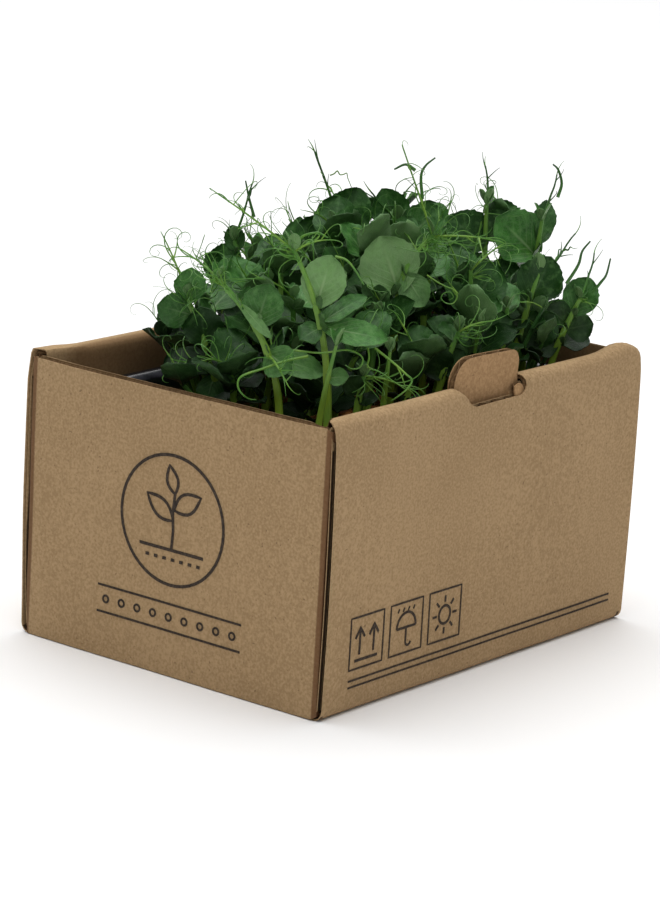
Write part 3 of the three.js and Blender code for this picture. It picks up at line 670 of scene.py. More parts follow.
# %% The two short walls
for name, side in (("carton_short_wall_left", -1), ("carton_short_wall_right", 1)):
    path = [(side * x, y) for x, y in short_wall_path()]
    if side > 0:
        path = path[::-1]
    wall = corrugated(
        name, path, (0.3 * MM, SIDE_TOP), liner_short, "xyz", span=0.9, recess=(-0.1 * MM, 0.3 * MM))
    for vertex in wall.data.vertices:
        spot = vertex.co
        inside, height, share = HALF_LENGTH - abs(spot.x), spot.z, spot.z / SIDE_TOP
        if height > SIDE_TOP - 2 * MM and inside < BOARD + 0.1 * MM:
            spot.x = side * (HALF_LENGTH - inside * 0.75)
        crushed = CRUSHED * BOARD * ramp(abs(spot.y), 60 * MM, 66 * MM) * near_end(spot.x)
        spot.y += math.copysign(crushed, spot.y)
        spot.y += pinched_in(*spot) * ramp(spot.y, 55 * MM, 60 * MM)
        on_flap = flap_share(inside, spot.y, side)
        spot.z += top_edge_lift(inside, spot.y, height, side)
        spot.z += on_flap * ((1 - share) * FLAP_FOOT - share * (SIDE_TOP - FLAP_TOP))
        spot.x += side * short_wall_swell(spot.y, spot.z, side) * (1 - on_flap)
    hang(wall, "kraft_board")

# %% [markdown]
# ## The lug
# A board stands up through the notch. It is a flat corrugated sheet, trimmed to the lug's outline
# by a Boolean that keeps only what is inside it. Its top edge shows the ends of the waves. The lug
# is a little thinner than the rest and leans inwards.

# %% Lug
LUG_FACE = -HALF_DEPTH + 4.9 * MM
LUG_THINNED, LUG_LEAN = 0.85, 0.012
lug_foot, lug_end = (LUG_FACE, 92 * MM), (LUG_FACE, 119 * MM)
lug_path = [lug_foot] + straight(lug_foot, lug_end, 7) + [lug_end]
lug = corrugated(
    "carton_lug", lug_path[::-1], (-26 * MM, 25 * MM), liner_lug, "yzx", span=0.5,
    trim=("INTERSECT", lug_outline, LUG_FACE - 2 * MM, LUG_FACE + 7 * MM),
)
for vertex in lug.data.vertices:
    behind = vertex.co.y - LUG_FACE
    vertex.co.y = LUG_FACE + LUG_THINNED * behind + LUG_LEAN * max(vertex.co.z - 101 * MM, 0)
hang(lug, "kraft_board")

# %% [markdown]
# In the round end of the notch a torn scrap of board is left standing. It is a small corrugated
# sheet of its own, trimmed to a ragged outline in the same way.

# %% Torn scrap
SCRAP_FACE = -HALF_DEPTH + 1.3 * MM
scrap_outline = millimetres([
    (13, 99.5), (19.2, 99.5), (19.4, 103), (18.8, 104.5), (17.4, 104.9), (15.6, 104.5), (14.2, 103.9),
    (13.6, 102.4),
])
scrap_bend = ((0, 98), (0.1, 101), (0.9, 103.4), (2.2, 106))
scrap_path = [(SCRAP_FACE + inward * MM, height * MM) for inward, height in scrap_bend]
scrap = corrugated(
    "carton_torn_scrap", scrap_path[::-1], (11 * MM, 21 * MM), liner_lug, "yzx", span=0.15,
    trim=("INTERSECT", scrap_outline, SCRAP_FACE - 2 * MM, SCRAP_FACE + 8 * MM),
)
hang(scrap, "kraft_board")

# %% [markdown]
# ## Printed marks
# The walls carry a little one-colour printing: a seedling in a ring on one short wall, and plain
# handling signs on the long one. A printed line is a thin ribbon with a mitred bend at each point.
# It is lifted a hair off the liner and follows the same soft swell as the wall behind it.

# %% Ink, and a line of it
ink = two_tone(
    "carton_ink", 0.8, 0.2, (900, 4), (0.35, 0.75), (0.035, 0.026, 0.02, 1), (0.075, 0.055, 0.04, 1))
INK_LIFT = 0.14 * MM


def stepped(points, closed, step=3.0):
    """The same line with points at most a step apart, so that it can follow a swelling wall."""
    corners = list(points) + ([points[0]] if closed else [])
    line = []
    for start, end in zip(corners, corners[1:]):
        count = max(math.ceil(math.dist(start, end) / step), 1)
        line += [tuple(point) for point in np.linspace(start, end, count + 1)[:-1]]
    return line if closed else line + [tuple(corners[-1])]


def ribbon(points, width, closed=False):
    """Both edges of a drawn line, and its faces."""
    line = np.array(stepped(points, closed), float)
    if closed:
        line = np.vstack([line[-1:], line, line[:1]])
    sides = normals_of(line)
    left, right_edge = line + sides * width / 2, line - sides * width / 2
    if closed:
        left, right_edge = left[1:-1], right_edge[1:-1]
    count = len(left)
    last = count if closed else count - 1
    faces = [(i, (i + 1) % count, (i + 1) % count + count, i + count) for i in range(last)]
    return np.vstack([left, right_edge]), faces


def printed(name, lines, to_wall):
    """Ribbons given as (points, width, closed) in millimetres, laid on a wall."""
    vertices, faces = [], []
    for points, width, closed in lines:
        spots, quads = ribbon(points, width, closed)
        faces += [[corner + len(vertices) for corner in quad] for quad in quads]
        vertices += [to_wall(first * MM, second * MM) for first, second in spots]
    mark = new_piece(name, vertices, faces)
    thicken(mark, INK_LIFT)
    mark.data.materials.append(ink.material)
    return hang(mark, "kraft_board")


# %% Seedling in a ring
def circle(centre, radius, steps):
    return arc(centre, radius, 0, 360, steps)[:-1]


def on_short_wall(first, second):
    """first runs to the right seen from outside, which is -Y here."""
    y = -first
    return (-HALF_LENGTH - short_wall_swell(y, second, -1) - INK_LIFT, y, second)


def leaf_line(base, tip, belly, steps=9):
    """A closed pointed oval between two points."""
    base, tip = np.array(base, float), np.array(tip, float)
    along = tip - base
    across = np.array([-along[1], along[0]]) / np.linalg.norm(along)
    reach = np.linspace(0, 1, steps)
    swelling = belly * np.sin(math.pi * reach ** 0.9)
    upper = [tuple(base + along * r + across * s) for r, s in zip(reach, swelling)]
    lower = [tuple(base + along * r - across * s) for r, s in zip(reach, swelling)]
    return upper + lower[::-1][1:-1]


STROKE, FINE_STROKE = 1.15, 0.8
seedling = [
    (circle((0, 58), 24, 48), STROKE, True),
    ([(-15, 47), (15, 47)], STROKE, False),
    ([(0, 47), (0.6, 54), (0.2, 61), (1, 68)], STROKE, False),
    (leaf_line((0.4, 58), (-12, 66), 3.4), STROKE, True),
    (leaf_line((0.8, 62), (13, 69), 3.6), STROKE, True),
    (leaf_line((1, 68), (-2, 78), 2.6), STROKE, True),
]
seedling += [([(x, 43.5), (x + 1.6, 43.5)], STROKE, False) for x in range(-12, 13, 4)]
seedling += [(circle((-30 + 7.5 * step, 22), 1.3, 12), FINE_STROKE, True) for step in range(9)]
seedling += [([(-34, height), (34, height)], FINE_STROKE, False) for height in (27, 17)]
printed("carton_print_left", seedling, on_short_wall)


# %% Handling signs
def on_notched_wall(first, second):
    return (first, -HALF_DEPTH - long_wall_swell(first, second, -1) - INK_LIFT, second)


def up_arrow(x, foot, top):
    shaft, head = [(x, foot), (x, top)], [(x - 2.6, top - 3.8), (x, top), (x + 2.6, top - 3.8)]
    return [(shaft, 1.0, False), (head, 1.0, False)]


def framed(x, foot, size):
    return ([(x, foot), (x + size, foot), (x + size, foot + size), (x, foot + size)], 0.7, True)


def ray(centre, turn):
    """A short line that points away from a centre."""
    way = math.cos(turn), math.sin(turn)
    return ([(centre[0] + reach * way[0], centre[1] + reach * way[1]) for reach in (4.8, 7.2)], 0.9, False)


SIGN, SIGN_FOOT = 19, 16
UMBRELLA, SUN = (-46.5, SIGN_FOOT + 9.5), (-23.5, SIGN_FOOT + 9.5)
handle = [UMBRELLA, (-46.5, SIGN_FOOT + 4)] + arc((-45, SIGN_FOOT + 4), 1.5, 180, 350, 5)
signs = [framed(x, SIGN_FOOT, SIGN) for x in (-79, -56, -33)]
signs += up_arrow(-73.5, SIGN_FOOT + 5, SIGN_FOOT + 15) + up_arrow(-65.5, SIGN_FOOT + 5, SIGN_FOOT + 15)
signs += [([(-76, SIGN_FOOT + 3), (-63, SIGN_FOOT + 3)], 1.0, False)]
signs += [(arc(UMBRELLA, 5.6, 0, 180, 12), 1.0, False)]
signs += [([(-52.1, SIGN_FOOT + 9.5), (-40.9, SIGN_FOOT + 9.5)], 0.9, False)]
signs += [(handle, 0.9, False)]
signs += [([(x, SIGN_FOOT + 17), (x - 0.8, SIGN_FOOT + 15.6)], 0.7, False) for x in (-51, -48, -45, -42)]
signs += [(circle(SUN, 3.4, 20), 1.0, True)]
signs += [ray(SUN, math.radians(45 * number)) for number in range(8)]
signs += [([(-79, height), (84, height)], 0.7, False) for height in (12, 9.6)]
printed("carton_print_front", signs, on_notched_wall)

# %% [markdown]
# ## Growing tray
# A thermoformed tray is one thin glossy sheet drawn over a mould: a floor, leaning walls, a flat
# rim and a lip that turns down. It starts as the floor's outline with its corners bevelled. The
# outline's edge is then extruded ring after ring and each ring is resized, and a Solidify modifier
# gives the sheet its thickness. The plastic is black, and in patches where it faces slantwise
# upwards a pale reflection of the light is painted in.

# %% Black plastic
plastic = Finish("tray_black_plastic", roughness=0.16, specular=0.5)
smudge = plastic.noise(60, 4)
black = plastic.mix(smudge, (0.006, 0.006, 0.007, 1), (0.014, 0.014, 0.016, 1))
upward = plastic.axes(plastic.node("ShaderNodeNewGeometry").outputs["Normal"])[2]
# painted reflection: a pale grey blue in patches on faces that look slantwise upwards
slanting = plastic.times(plastic.between(upward, 0.5, 0.66), plastic.between(upward, 0.97, 0.88))
painted_reflection = plastic.times(plastic.times(slanting, plastic.between(smudge, 0.3, 0.6)), 0.5)
plastic.give("Base Color", plastic.mix(painted_reflection, black, (0.16, 0.16, 0.2, 1)))
plastic.give("Roughness", plastic.spread(smudge, 0.1, 0.26))
plastic.bump(plastic.noise(150, 2), 0.12, 0.3 * MM)
print("finish:", plastic.material.name)

# %% Tray drawn ring by ring
tray_low, tray_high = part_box("tray")
TRAY_HALF = (tray_high.x, tray_high.y)
TRAY_FOOT = tray_low.z
SHEET = 0.9 * MM
CORNER_BEVEL = 14 * MM
# half length and half depth less than the rim's edge, height above the floor
TRAY_RINGS = [
    (11.4, 0), (10.4, 1.2), (10, 4), (9.2, 45), (8.2, 78), (7.6, 83), (6.9, 86), (6.1, 88), (5.2, 89.5),
    (4.2, 90.4), (3, 90.85), (1.9, 91), (1, 90.7), (0.4, 90), (0.15, 88.9), (0.1, 86.6),
]
bpy.ops.object.select_all(action="DESELECT")
bpy.ops.mesh.primitive_plane_add(size=2, location=(0, 0, TRAY_FOOT + 0.4 * MM))
tray = bpy.context.object
tray.name = "growing_tray"
first_inset = TRAY_RINGS[0][0] * MM
tray.scale = (TRAY_HALF[0] - first_inset, TRAY_HALF[1] - first_inset, 1)
bpy.ops.object.transform_apply(location=True, scale=True)
start_edit(tray)
bpy.ops.mesh.bevel(offset=CORNER_BEVEL, offset_type="OFFSET", segments=8, affect="VERTICES")
bpy.ops.mesh.select_all(action="SELECT")
bpy.ops.mesh.region_to_loop()
for (inset, height), (next_inset, next_height) in zip(TRAY_RINGS, TRAY_RINGS[1:]):
    bpy.ops.mesh.extrude_edges_move(
        TRANSFORM_OT_translate={"value": (0, 0, (next_height - height) * MM)}
    )
    wider = [(half - next_inset * MM) / (half - inset * MM) for half in TRAY_HALF]
    bpy.ops.transform.resize(value=(*wider, 1), center_override=(0, 0, 0))
end_edit()
thicken(tray, SHEET)
tray.data.materials.append(plastic.material)
hang(tray, "black_plastic", "tray", angle=50)

# %% [markdown]
# ## How the shoots grow
# The shoots aren't placed by eye one after the other. Fifteen that stand out are listed, and
# the others come from a rule with seeded draws, so every run grows the same plants. This is the
# rule of the solid model, in millimetres, so that each fine shoot stands where its solid stands.
# A leaf is (place along the stem, heading, lift, length, width, roll) and a tendril is (place,
# heading, lift, length, droop), with angles in degrees.

# %% The shoots given one by one
STEM_BEND = 1.6  # 1 leans evenly from the foot up, and more leans only near the tip
# foot, tip, bend, leaves, tendrils
HAND_SET = [
    ((-1, -24), (10, -31, 154), 7,
     [(0.68, 127, 69, 22, 23, -85), (0.79, -83, -48, 14, 12, 60), (0.52, 112, 48, 19, 10, -70),
      (0.45, -50, 60, 13, 10, 0), (0.4, -101, -47, 11, 12, 65), (0.41, -68, 0, 14, 9, 15)],
     [(1, 130, 68, 36, 0), (1, -60, 10, 24, 0.2)]),
    ((-61, -42), (-70, -30, 158), 2.6,
     [(0.72, -46, 77, 19, 16, 80), (0.62, -65, -2, 24, 14, 50), (0.62, 157, -24, 9, 10, -30),
      (0.64, -42, 36, 19, 9, 30), (0.36, -73, 14, 8, 7, 60)],
     [(1, 130, 35, 32, 0), (1, -40, 35, 13, 0.3)]),
    ((-73, -30), (-87, -10, 147), 2.6,
     [(0.86, -82, -37, 17, 8, 60), (0.72, -42, 74, 16, 15, 80), (0.57, -85, -26, 11, 13, 60),
      (0.54, -64, -3, 22, 11, 50), (0.5, 130, -25, 12, 10, 0)],
     [(1, 130, 25, 18, 0), (0.55, -130, 10, 18, 0.5)]),
    ((-63, 5), (-72, 16, 133), STEM_BEND,
     [(0.63, -175, 72, 15, 15, -145), (0.87, 140, 15, 14, 13, -80), (0.98, -130, 75, 13, 12, 170),
      (0.39, -165, -55, 12, 10, -25), (0.52, 135, -5, 17, 12, -40)],
     [(0.5, 150, 10, 18, 0.3), (1, 100, 70, 22, 0)]),
    ((-10, 30), (-18, 40, 144), STEM_BEND,
     [(0.83, 145, 15, 14, 14, -80), (0.93, 130, 75, 10, 8, -90), (0.59, 130, 40, 16, 15, -80),
      (0.56, -25, 50, 15, 14, 60)],
     [(1, -50, 75, 22, 0)]),
    ((26, 18), (21, 23, 153), STEM_BEND,
     [(0.8, 128, 27, 18, 15, -80), (0.86, -31, 68, 20, 17, 65), (0.68, 130, 10, 15, 14, -40),
      (0.6, -50, 25, 16, 15, 80)],
     [(1, 130, 68, 26, 0)]),
    ((49, 2), (43, 10, 149), STEM_BEND,
     [(0.92, 130, 65, 19, 15, -85), (0.87, -38, 44, 20, 16, 70), (0.73, -50, 38, 16, 15, 80),
      (0.65, 130, -30, 16, 14, -45)],
     [(1, 130, 45, 16, 0)]),
    ((63, -18), (62, -17, 158), STEM_BEND,
     [(0.76, 130, 40, 18, 18, -80), (0.8, -25, 48, 15, 13, 60), (0.62, 140, 20, 15, 13, -80),
      (0.58, -50, 15, 15, 14, 75)],
     [(1, 20, 70, 15, 0)]),
    ((74, -30), (75, -34, 153), STEM_BEND,
     [(0.79, 117, 53, 22, 21, -80), (0.86, -15, 66, 19, 10, 50), (0.63, 130, 15, 15, 13, -75),
      (0.6, -20, 0, 14, 12, 40)],
     [(1, -40, 72, 18, 0)]),
    ((52, -40), (57, -47, 138), STEM_BEND,
     [(0.76, -75, 68, 19, 18, 105), (0.66, 60, 45, 14, 12, 60), (0.44, -60, 40, 18, 15, 90),
      (0.44, 130, 30, 14, 11, -80)],
     [(0.9, -50, 50, 22, -0.1)]),
    ((29, -38), (28, -36, 140), STEM_BEND,
     [(0.71, -37, 63, 20, 17, 70), (0.7, 100, 67, 19, 13, -60), (0.56, -60, 20, 16, 13, 80),
      (0.5, 160, -5, 13, 11, -70)],
     [(1, -50, 50, 16, 0.2)]),
    ((69, -45), (72, -56, 127), STEM_BEND,
     [(0.82, -36, 66, 16, 14, 65), (0.68, -60, 15, 11, 12, 80), (0.52, -50, 5, 13, 10, 35),
      (0.5, 150, -5, 12, 10, -35), (0.74, 150, 35, 13, 12, -95)],
     [(1, -20, 65, 18, 0)]),
    ((-2, -45), (2, -51, 123), STEM_BEND,
     [(0.5, 170, 60, 14, 13, -125), (0.55, -61, 53, 11, 13, 90), (0.85, 40, 30, 13, 12, 20)],
     [(1, -50, 35, 14, 0.3)]),
    ((-50, -45), (-48, -47, 113), STEM_BEND,
     [(0.62, -70, 25, 8, 6, 45), (0.75, 165, 45, 9, 8, -110), (0.92, 30, 35, 10, 9, 50)],
     [(1, -60, 0, 16, 0.3)]),
    ((-16, -30), (-18, -33, 114), STEM_BEND,
     [(0.72, -20, 30, 11, 9, 40), (0.9, 134, 24, 9, 9, -80)],
     [(1, -110, 30, 12, 0.3)]),
]
MAIN_SHOOTS = [dict(zip(("root", "top", "bend", "leaves", "tendrils"), values)) for values in HAND_SET]
print(len(MAIN_SHOOTS), "shoots with", sum(len(shoot["leaves"]) for shoot in MAIN_SHOOTS), "leaves")

# %% The seeded draws and the sown shoots
DRAW_FACTOR, DRAW_RANGE = 16807, 2147483647
SPACING, SOWN_MARGIN = 18.5, 8
TRAY_LENGTH, TRAY_DEPTH, TRAY_RIM = 175, 115, 6
ROOTS_LENGTH, ROOTS_DEPTH = 148, 86
MAT_TOP = 88
CROWDED = 11  # nothing is sown this close to a listed shoot
BARE_CORNER = 70  # nor past this distance, slantwise, towards the far left corner
drawn = 73462


def draw(low_end, high_end):
    global drawn
    drawn = (drawn * DRAW_FACTOR) % DRAW_RANGE
    return low_end + ((high_end - low_end) * drawn) / DRAW_RANGE


def canopy_height(x, y):
    """The shoots are tallest a little behind and to the right of the middle."""
    across, deep = x - 35, y - 12
    return 64 - 0.0032 * across * across - 0.0085 * deep * deep


def within(value, limit):
    return max(-limit, min(limit, value))


def sown_leaves(turn):
    """Three pairs of opposite leaves, each pair turned against the one below."""
    leaves = []
    for pair, (place, length, lift) in enumerate(((0.42, 13, 10), (0.66, 19, 30), (0.9, 18, 45))):
        for side in (0, 180):
            heading = turn + side + pair * 75 + draw(-20, 20)
            long = length + draw(-2, 3)
            tilt = lift + draw(-15, 15)
            leaves.append((place, heading, tilt, long, long * draw(0.8, 0.98), draw(-35, 35)))
    return leaves


def sown_shoots():
    rows = (TRAY_DEPTH - 2 * TRAY_RIM - SOWN_MARGIN) // SPACING
    columns = (TRAY_LENGTH - 2 * TRAY_RIM - SOWN_MARGIN) // SPACING
    shoots = []
    for row in range(int(rows) + 1):
        for column in range(int(columns) + 1):
            x = within((column - columns / 2) * SPACING + draw(-4, 4), ROOTS_LENGTH / 2)
            y = within((row - rows / 2) * SPACING + draw(-3, 3), ROOTS_DEPTH / 2)
            height = canopy_height(x, y) + draw(-9, 7)
            top = (x * 1.06 + draw(-7, 7), y * 1.1 + draw(-6, 6), MAT_TOP + height)
            turn = draw(0, 180)
            crowded = any(math.hypot(m["root"][0] - x, m["root"][1] - y) < CROWDED for m in MAIN_SHOOTS)
            if not crowded and y - 0.8 * x <= BARE_CORNER:
                leaves = sown_leaves(turn)
                tendril = (1, turn + draw(-60, 60), draw(40, 75), draw(10, 18), draw(-0.1, 0.3))
                shoots.append({"root": (x, y), "top": top, "leaves": leaves, "tendrils": [tendril]})
    return shoots


print("a stem is sown about every", SPACING, "mm")

# %% [markdown]
# ## Lines in space
# A stem rises straight and leans over towards its top. A blade has three directions of its own:
# along its midrib, across it, and the way its upper face looks. Vectors are plain tuples here,
# because Blender's own vectors keep fewer digits and the shoots would drift apart.

# %% Stem, blade and tendril as formulas
BLADE_EDGE = 0.7
TENDRIL_SWING = 0.2
FORKED_LENGTH, FORKS = 20, ((0.5, 75), (0.7, -75))


def moved(point, way, distance):
    return tuple(value + step * distance for value, step in zip(point, way))


def crossed(a, b):
    return (a[1] * b[2] - a[2] * b[1], a[2] * b[0] - a[0] * b[2], a[0] * b[1] - a[1] * b[0])


def direction(heading, lift):
    heading, lift = heading * math.pi / 180, lift * math.pi / 180
    return (math.cos(heading) * math.cos(lift), math.sin(heading) * math.cos(lift), math.sin(lift))


def stem_point(shoot, place):
    lean = max(place, 0) ** shoot.get("bend", STEM_BEND)
    root, top = shoot["root"], shoot["top"]
    return (
        root[0] + (top[0] - root[0]) * lean,
        root[1] + (top[1] - root[1]) * lean,
        MAT_TOP + (top[2] - MAT_TOP) * place,
    )


def blade_of(shoot, leaf):
    place, heading, lift, length, width, roll = leaf
    along, level = direction(heading, lift), direction(heading, lift + 90)
    aside = crossed(along, level)
    turn = roll * math.pi / 180
    facing = moved(tuple(value * math.cos(turn) for value in level), aside, math.sin(turn))
    return {
        "base": stem_point(shoot, place), "along": along, "facing": facing,
        "across": crossed(along, facing), "length": length, "width": width, "place": place,
    }


def half_width(blade, reach):
    return max(BLADE_EDGE, (blade["width"] / 2) * math.sin(math.pi * reach ** 0.85) ** 0.7)


def blade_point(blade, reach, side):
    half = half_width(blade, reach) if reach < 1 else 0
    rise = 0.1 * blade["width"] * side * side * reach - 0.12 * blade["length"] * reach * reach
    point = moved(blade["base"], blade["along"], blade["length"] * reach)
    return moved(moved(point, blade["across"], half * side), blade["facing"], rise)


def tendril_point(tendril, reach):
    bent = tendril["length"] * reach * reach
    point = moved(tendril["base"], tendril["along"], tendril["length"] * reach)
    point = moved(point, tendril["aside"], TENDRIL_SWING * bent)
    return (point[0], point[1], point[2] - tendril["droop"] * bent)


def tendril_of(shoot, line):
    place, heading, lift, length, droop = line
    aside = direction(heading + 90, 0)
    tendril = {"base": stem_point(shoot, place), "along": direction(heading, lift), "aside": aside,
               "length": length, "droop": droop, "forks": []}
    if length >= FORKED_LENGTH:
        tendril["forks"] = [
            {"base": tendril_point(tendril, reach), "along": direction(heading + turn, lift - 35),
             "aside": aside, "length": length * 0.4, "droop": 0}
            for reach, turn in FORKS
        ]
    return tendril


print("the first shoot's tip is at", [round(value, 1) for value in stem_point(MAIN_SHOOTS[0], 1)])

# %% [markdown]
# ## Keeping clear of each other
# Living leaves never pass through one another. Each stem, blade and tendril is filled with beads,
# which are kept in a grid of small cells, so that a new leaf only has to look at its neighbours. A
# leaf that would touch another is turned, then made smaller, and in the end left out.

# %% Beads along stems, blades and tendrils
BEAD_STEP, STEM_BEAD, BLADE_BEAD, TENDRIL_BEAD = 1.8, 1.7, 1.3, 1.0
BEAD_CELL = 2 * STEM_BEAD
JOINT_REACH = 9  # this close to its stem a leaf may touch the parts of its own shoot
TURNS, TILTS, SIZES = (0, 15, -15, 30, -30, 50, -50), (0, 6, 12, -10, 20, -20, 25), (1, 0.8, 0.62)
LEAF_TURNS, TENDRIL_TURNS = list(zip(TURNS, TILTS)), [(turn, 0) for turn in TURNS]
bead_grid = {}


def stem_beads(shoot):
    count = math.ceil((shoot["top"][2] - MAT_TOP) / BEAD_STEP)
    return [(stem_point(shoot, step / count), STEM_BEAD, True) for step in range(count + 1)]


def blade_beads(blade):
    count = math.ceil(blade["length"] / BEAD_STEP)
    beads = []
    for step in range(1, count + 1):
        reach = step / count
        across = max(1, math.ceil((2 * half_width(blade, min(reach, 0.999))) / BEAD_STEP))
        joined_here = reach * blade["length"] < JOINT_REACH
        for place in range(across + 1):
            beads.append((blade_point(blade, reach, (2 * place) / across - 1), BLADE_BEAD, joined_here))
    return beads


def tendril_beads(tendril):
    beads = []
    for branch in [tendril] + tendril["forks"]:
        count = math.ceil((2 * branch["length"]) / BEAD_STEP)
        beads += [(tendril_point(branch, step / count), TENDRIL_BEAD, True) for step in range(1, count + 1)]
    return beads


def cell_of(point):
    return tuple(math.floor(value / BEAD_CELL) for value in point)


def meets(bead, owner):
    point, radius, joined_here = bead
    i, j, k = cell_of(point)
    for cell in ((i + a, j + b, k + c) for a in (-1, 0, 1) for b in (-1, 0, 1) for c in (-1, 0, 1)):
        for other, other_radius, other_joined, other_owner in bead_grid.get(cell, ()):
            if math.dist(point, other) < radius + other_radius:
                if not (other_owner == owner and (joined_here or other_joined)):
                    return True
    return False


# %% What a leaf keeps clear of
CARTON_LENGTH, CARTON_DEPTH = 188, 143
RIM_ZONE, WALL_ZONE, LUG_TOP = 97, 110, 119.8  # heights up to which each is in the way
RIM_CORNER, FILM = 16, 1.4
LUG_LEFT, LUG_RIGHT, LUG_BEHIND = -22.5, 21, 11


def in_the_open(point):
    """Clear of the carton, its lug, the tray's rim and the mat."""
    x, y, z = abs(point[0]), abs(point[1]), point[2]
    if z < MAT_TOP + 3 or x > CARTON_LENGTH / 2 - 1.5 or y > CARTON_DEPTH / 2 - 1.5:
        return False
    if z < RIM_ZONE:
        over_x, over_y = x - (TRAY_LENGTH / 2 - RIM_CORNER), y - (TRAY_DEPTH / 2 - RIM_CORNER)
        return math.hypot(max(over_x, 0), max(over_y, 0)) < RIM_CORNER - (TRAY_RIM + FILM + STEM_BEAD)
    if z < WALL_ZONE:
        return x < CARTON_LENGTH / 2 - 5.8 and y < CARTON_DEPTH / 2 - 13.8
    by_the_lug = LUG_LEFT < point[0] < LUG_RIGHT and point[1] < -CARTON_DEPTH / 2 + LUG_BEHIND
    return z > LUG_TOP or not by_the_lug


def keep(beads, owner):
    for point, radius, joined_here in beads:
        bead_grid.setdefault(cell_of(point), []).append((point, radius, joined_here, owner))


# %% Growing a group of shoots
def fitted(shoot, line, owner, shape, fill, headings):
    """The first turned or smaller copy of a leaf or tendril that is free, or nothing."""
    for size in SIZES:
        for turn, tilt in headings:
            if len(line) == 6:
                place, heading, lift, length, width, roll = line
                tried = (place, heading + turn, lift + tilt, length * size, width * size, roll)
            else:
                place, heading, lift, length, droop = line
                tried = (place, heading + turn, lift, length * size, droop)
            made = shape(shoot, tried)
            beads = fill(made)
            if all(in_the_open(bead[0]) and not meets(bead, owner) for bead in beads):
                keep(beads, owner)
                return made
    return None


def unfold_leaves(shoot, owner):
    """Gives a standing stem those of its leaves and tendrils that find room."""
    blades = [fitted(shoot, leaf, owner, blade_of, blade_beads, LEAF_TURNS) for leaf in shoot["leaves"]]
    curls = [fitted(shoot, line, owner, tendril_of, tendril_beads, TENDRIL_TURNS)
             for line in shoot["tendrils"]]
    shoot["blades"] = [blade for blade in blades if blade]
    shoot["curls"] = [curl for curl in curls if curl]


def grow(seedlings, grown):
    """All the stems of a group come up first, then each unfolds its leaves and tendrils."""
    standing = []
    for seedling in seedlings:
        owner = len(grown) + len(standing)
        beads = stem_beads(seedling)
        if not any(meets(bead, owner) for bead in beads):
            keep(beads, owner)
            standing.append(seedling)
    for place, shoot in enumerate(standing):
        unfold_leaves(shoot, len(grown) + place)
    return grown + [shoot for shoot in standing if len(shoot["blades"]) >= FEWEST_LEAVES]


FEWEST_LEAVES = 3
shoots = grow(sown_shoots(), grow(MAIN_SHOOTS, []))
print(len(shoots), "shoots with", sum(len(shoot["blades"]) for shoot in shoots), "leaves")

# %% [markdown]
# ## Young shoots between the tall ones
# A sown tray holds far more seedlings than the solid model carries. A second, closer grid of
# smaller shoots fills the gaps under the canopy by the same rule. They are beaded as well, with
# finer beads, so their leaves push in between the others and don't pass through them. Behind the
# near corner, where one looks in under the canopy, stand stouter stems without leaves.

# %% Young shoots
YOUNG_SPACING = 8.4
STEM_BEAD, BLADE_BEAD, TENDRIL_BEAD, JOINT_REACH = 0.9, 0.6, 0.3, 7
SIZES = (1, 0.8, 0.6, 0.42)
STEMS_TRIED = 16
# of each pair of leaves: the place along the stem, the length and the lift
YOUNG_PAIRS = ((0.3, 9, 5), (0.52, 13, 15), (0.76, 17, 35), (0.97, 15, 55))


def young_shoot(x, y):
    height = canopy_height(x, y) * draw(0.45, 0.98)
    top = (x * 1.05 + draw(-8, 8), y * 1.08 + draw(-7, 7), MAT_TOP + height)
    turn = draw(0, 180)
    leaves = []
    for pair, (place, length, lift) in enumerate(YOUNG_PAIRS):
        for side in (0, 180):
            heading = turn + side + pair * 80 + draw(-25, 25)
            long = length + draw(-2, 3)
            tilt = lift + draw(-20, 20)
            joint = place + draw(-0.03, 0.02)
            leaves.append((joint, heading, tilt, long, long * draw(0.75, 0.97), draw(-60, 60)))
    tendrils = [(1, turn + draw(-60, 60), draw(30, 80), draw(9, 17), draw(-0.1, 0.3))]
    return {"root": (x, y), "top": top, "leaves": leaves, "tendrils": tendrils}


def young_shoots():
    """The first of a few stems at each place of the grid that stands free of all the others."""
    seedlings = []
    rows, columns = int(ROOTS_DEPTH // YOUNG_SPACING), int(ROOTS_LENGTH // YOUNG_SPACING)
    for row in range(rows + 1):
        for column in range(columns + 1):
            for attempt in range(STEMS_TRIED):
                x = within((column - columns / 2) * YOUNG_SPACING + draw(-4, 4), ROOTS_LENGTH / 2)
                y = within((row - rows / 2) * YOUNG_SPACING + draw(-4, 4), ROOTS_DEPTH / 2)
                seedling = young_shoot(x, y)
                beads = stem_beads(seedling)
                if y - 0.8 * x <= BARE_CORNER and not any(meets(bead, None) for bead in beads):
                    keep(beads, len(shoots) + len(seedlings))
                    seedlings.append(seedling)
                    break
    return seedlings


# %% Shaded leaves and bare stems
BARE_BELOW, BARE_BELOW_IN_FRONT = 15, 26
BARE_BEAD = 1.5
BARE_STEMS_TRIED = 300


def shaded_out(seedling, leaf):
    """The lowest leaves drop in the dark, and higher up still behind the near corner."""
    height = (seedling["top"][2] - MAT_TOP) * leaf[0]
    x, y = seedling["root"]
    return height < (BARE_BELOW_IN_FRONT if x < 20 and y < -14 else BARE_BELOW)


def unfold_all(seedlings):
    for place, seedling in enumerate(seedlings):
        seedling["leaves"] = [leaf for leaf in seedling["leaves"] if not shaded_out(seedling, leaf)]
        unfold_leaves(seedling, len(shoots) + place)
    return [seedling for seedling in seedlings if seedling["blades"]]


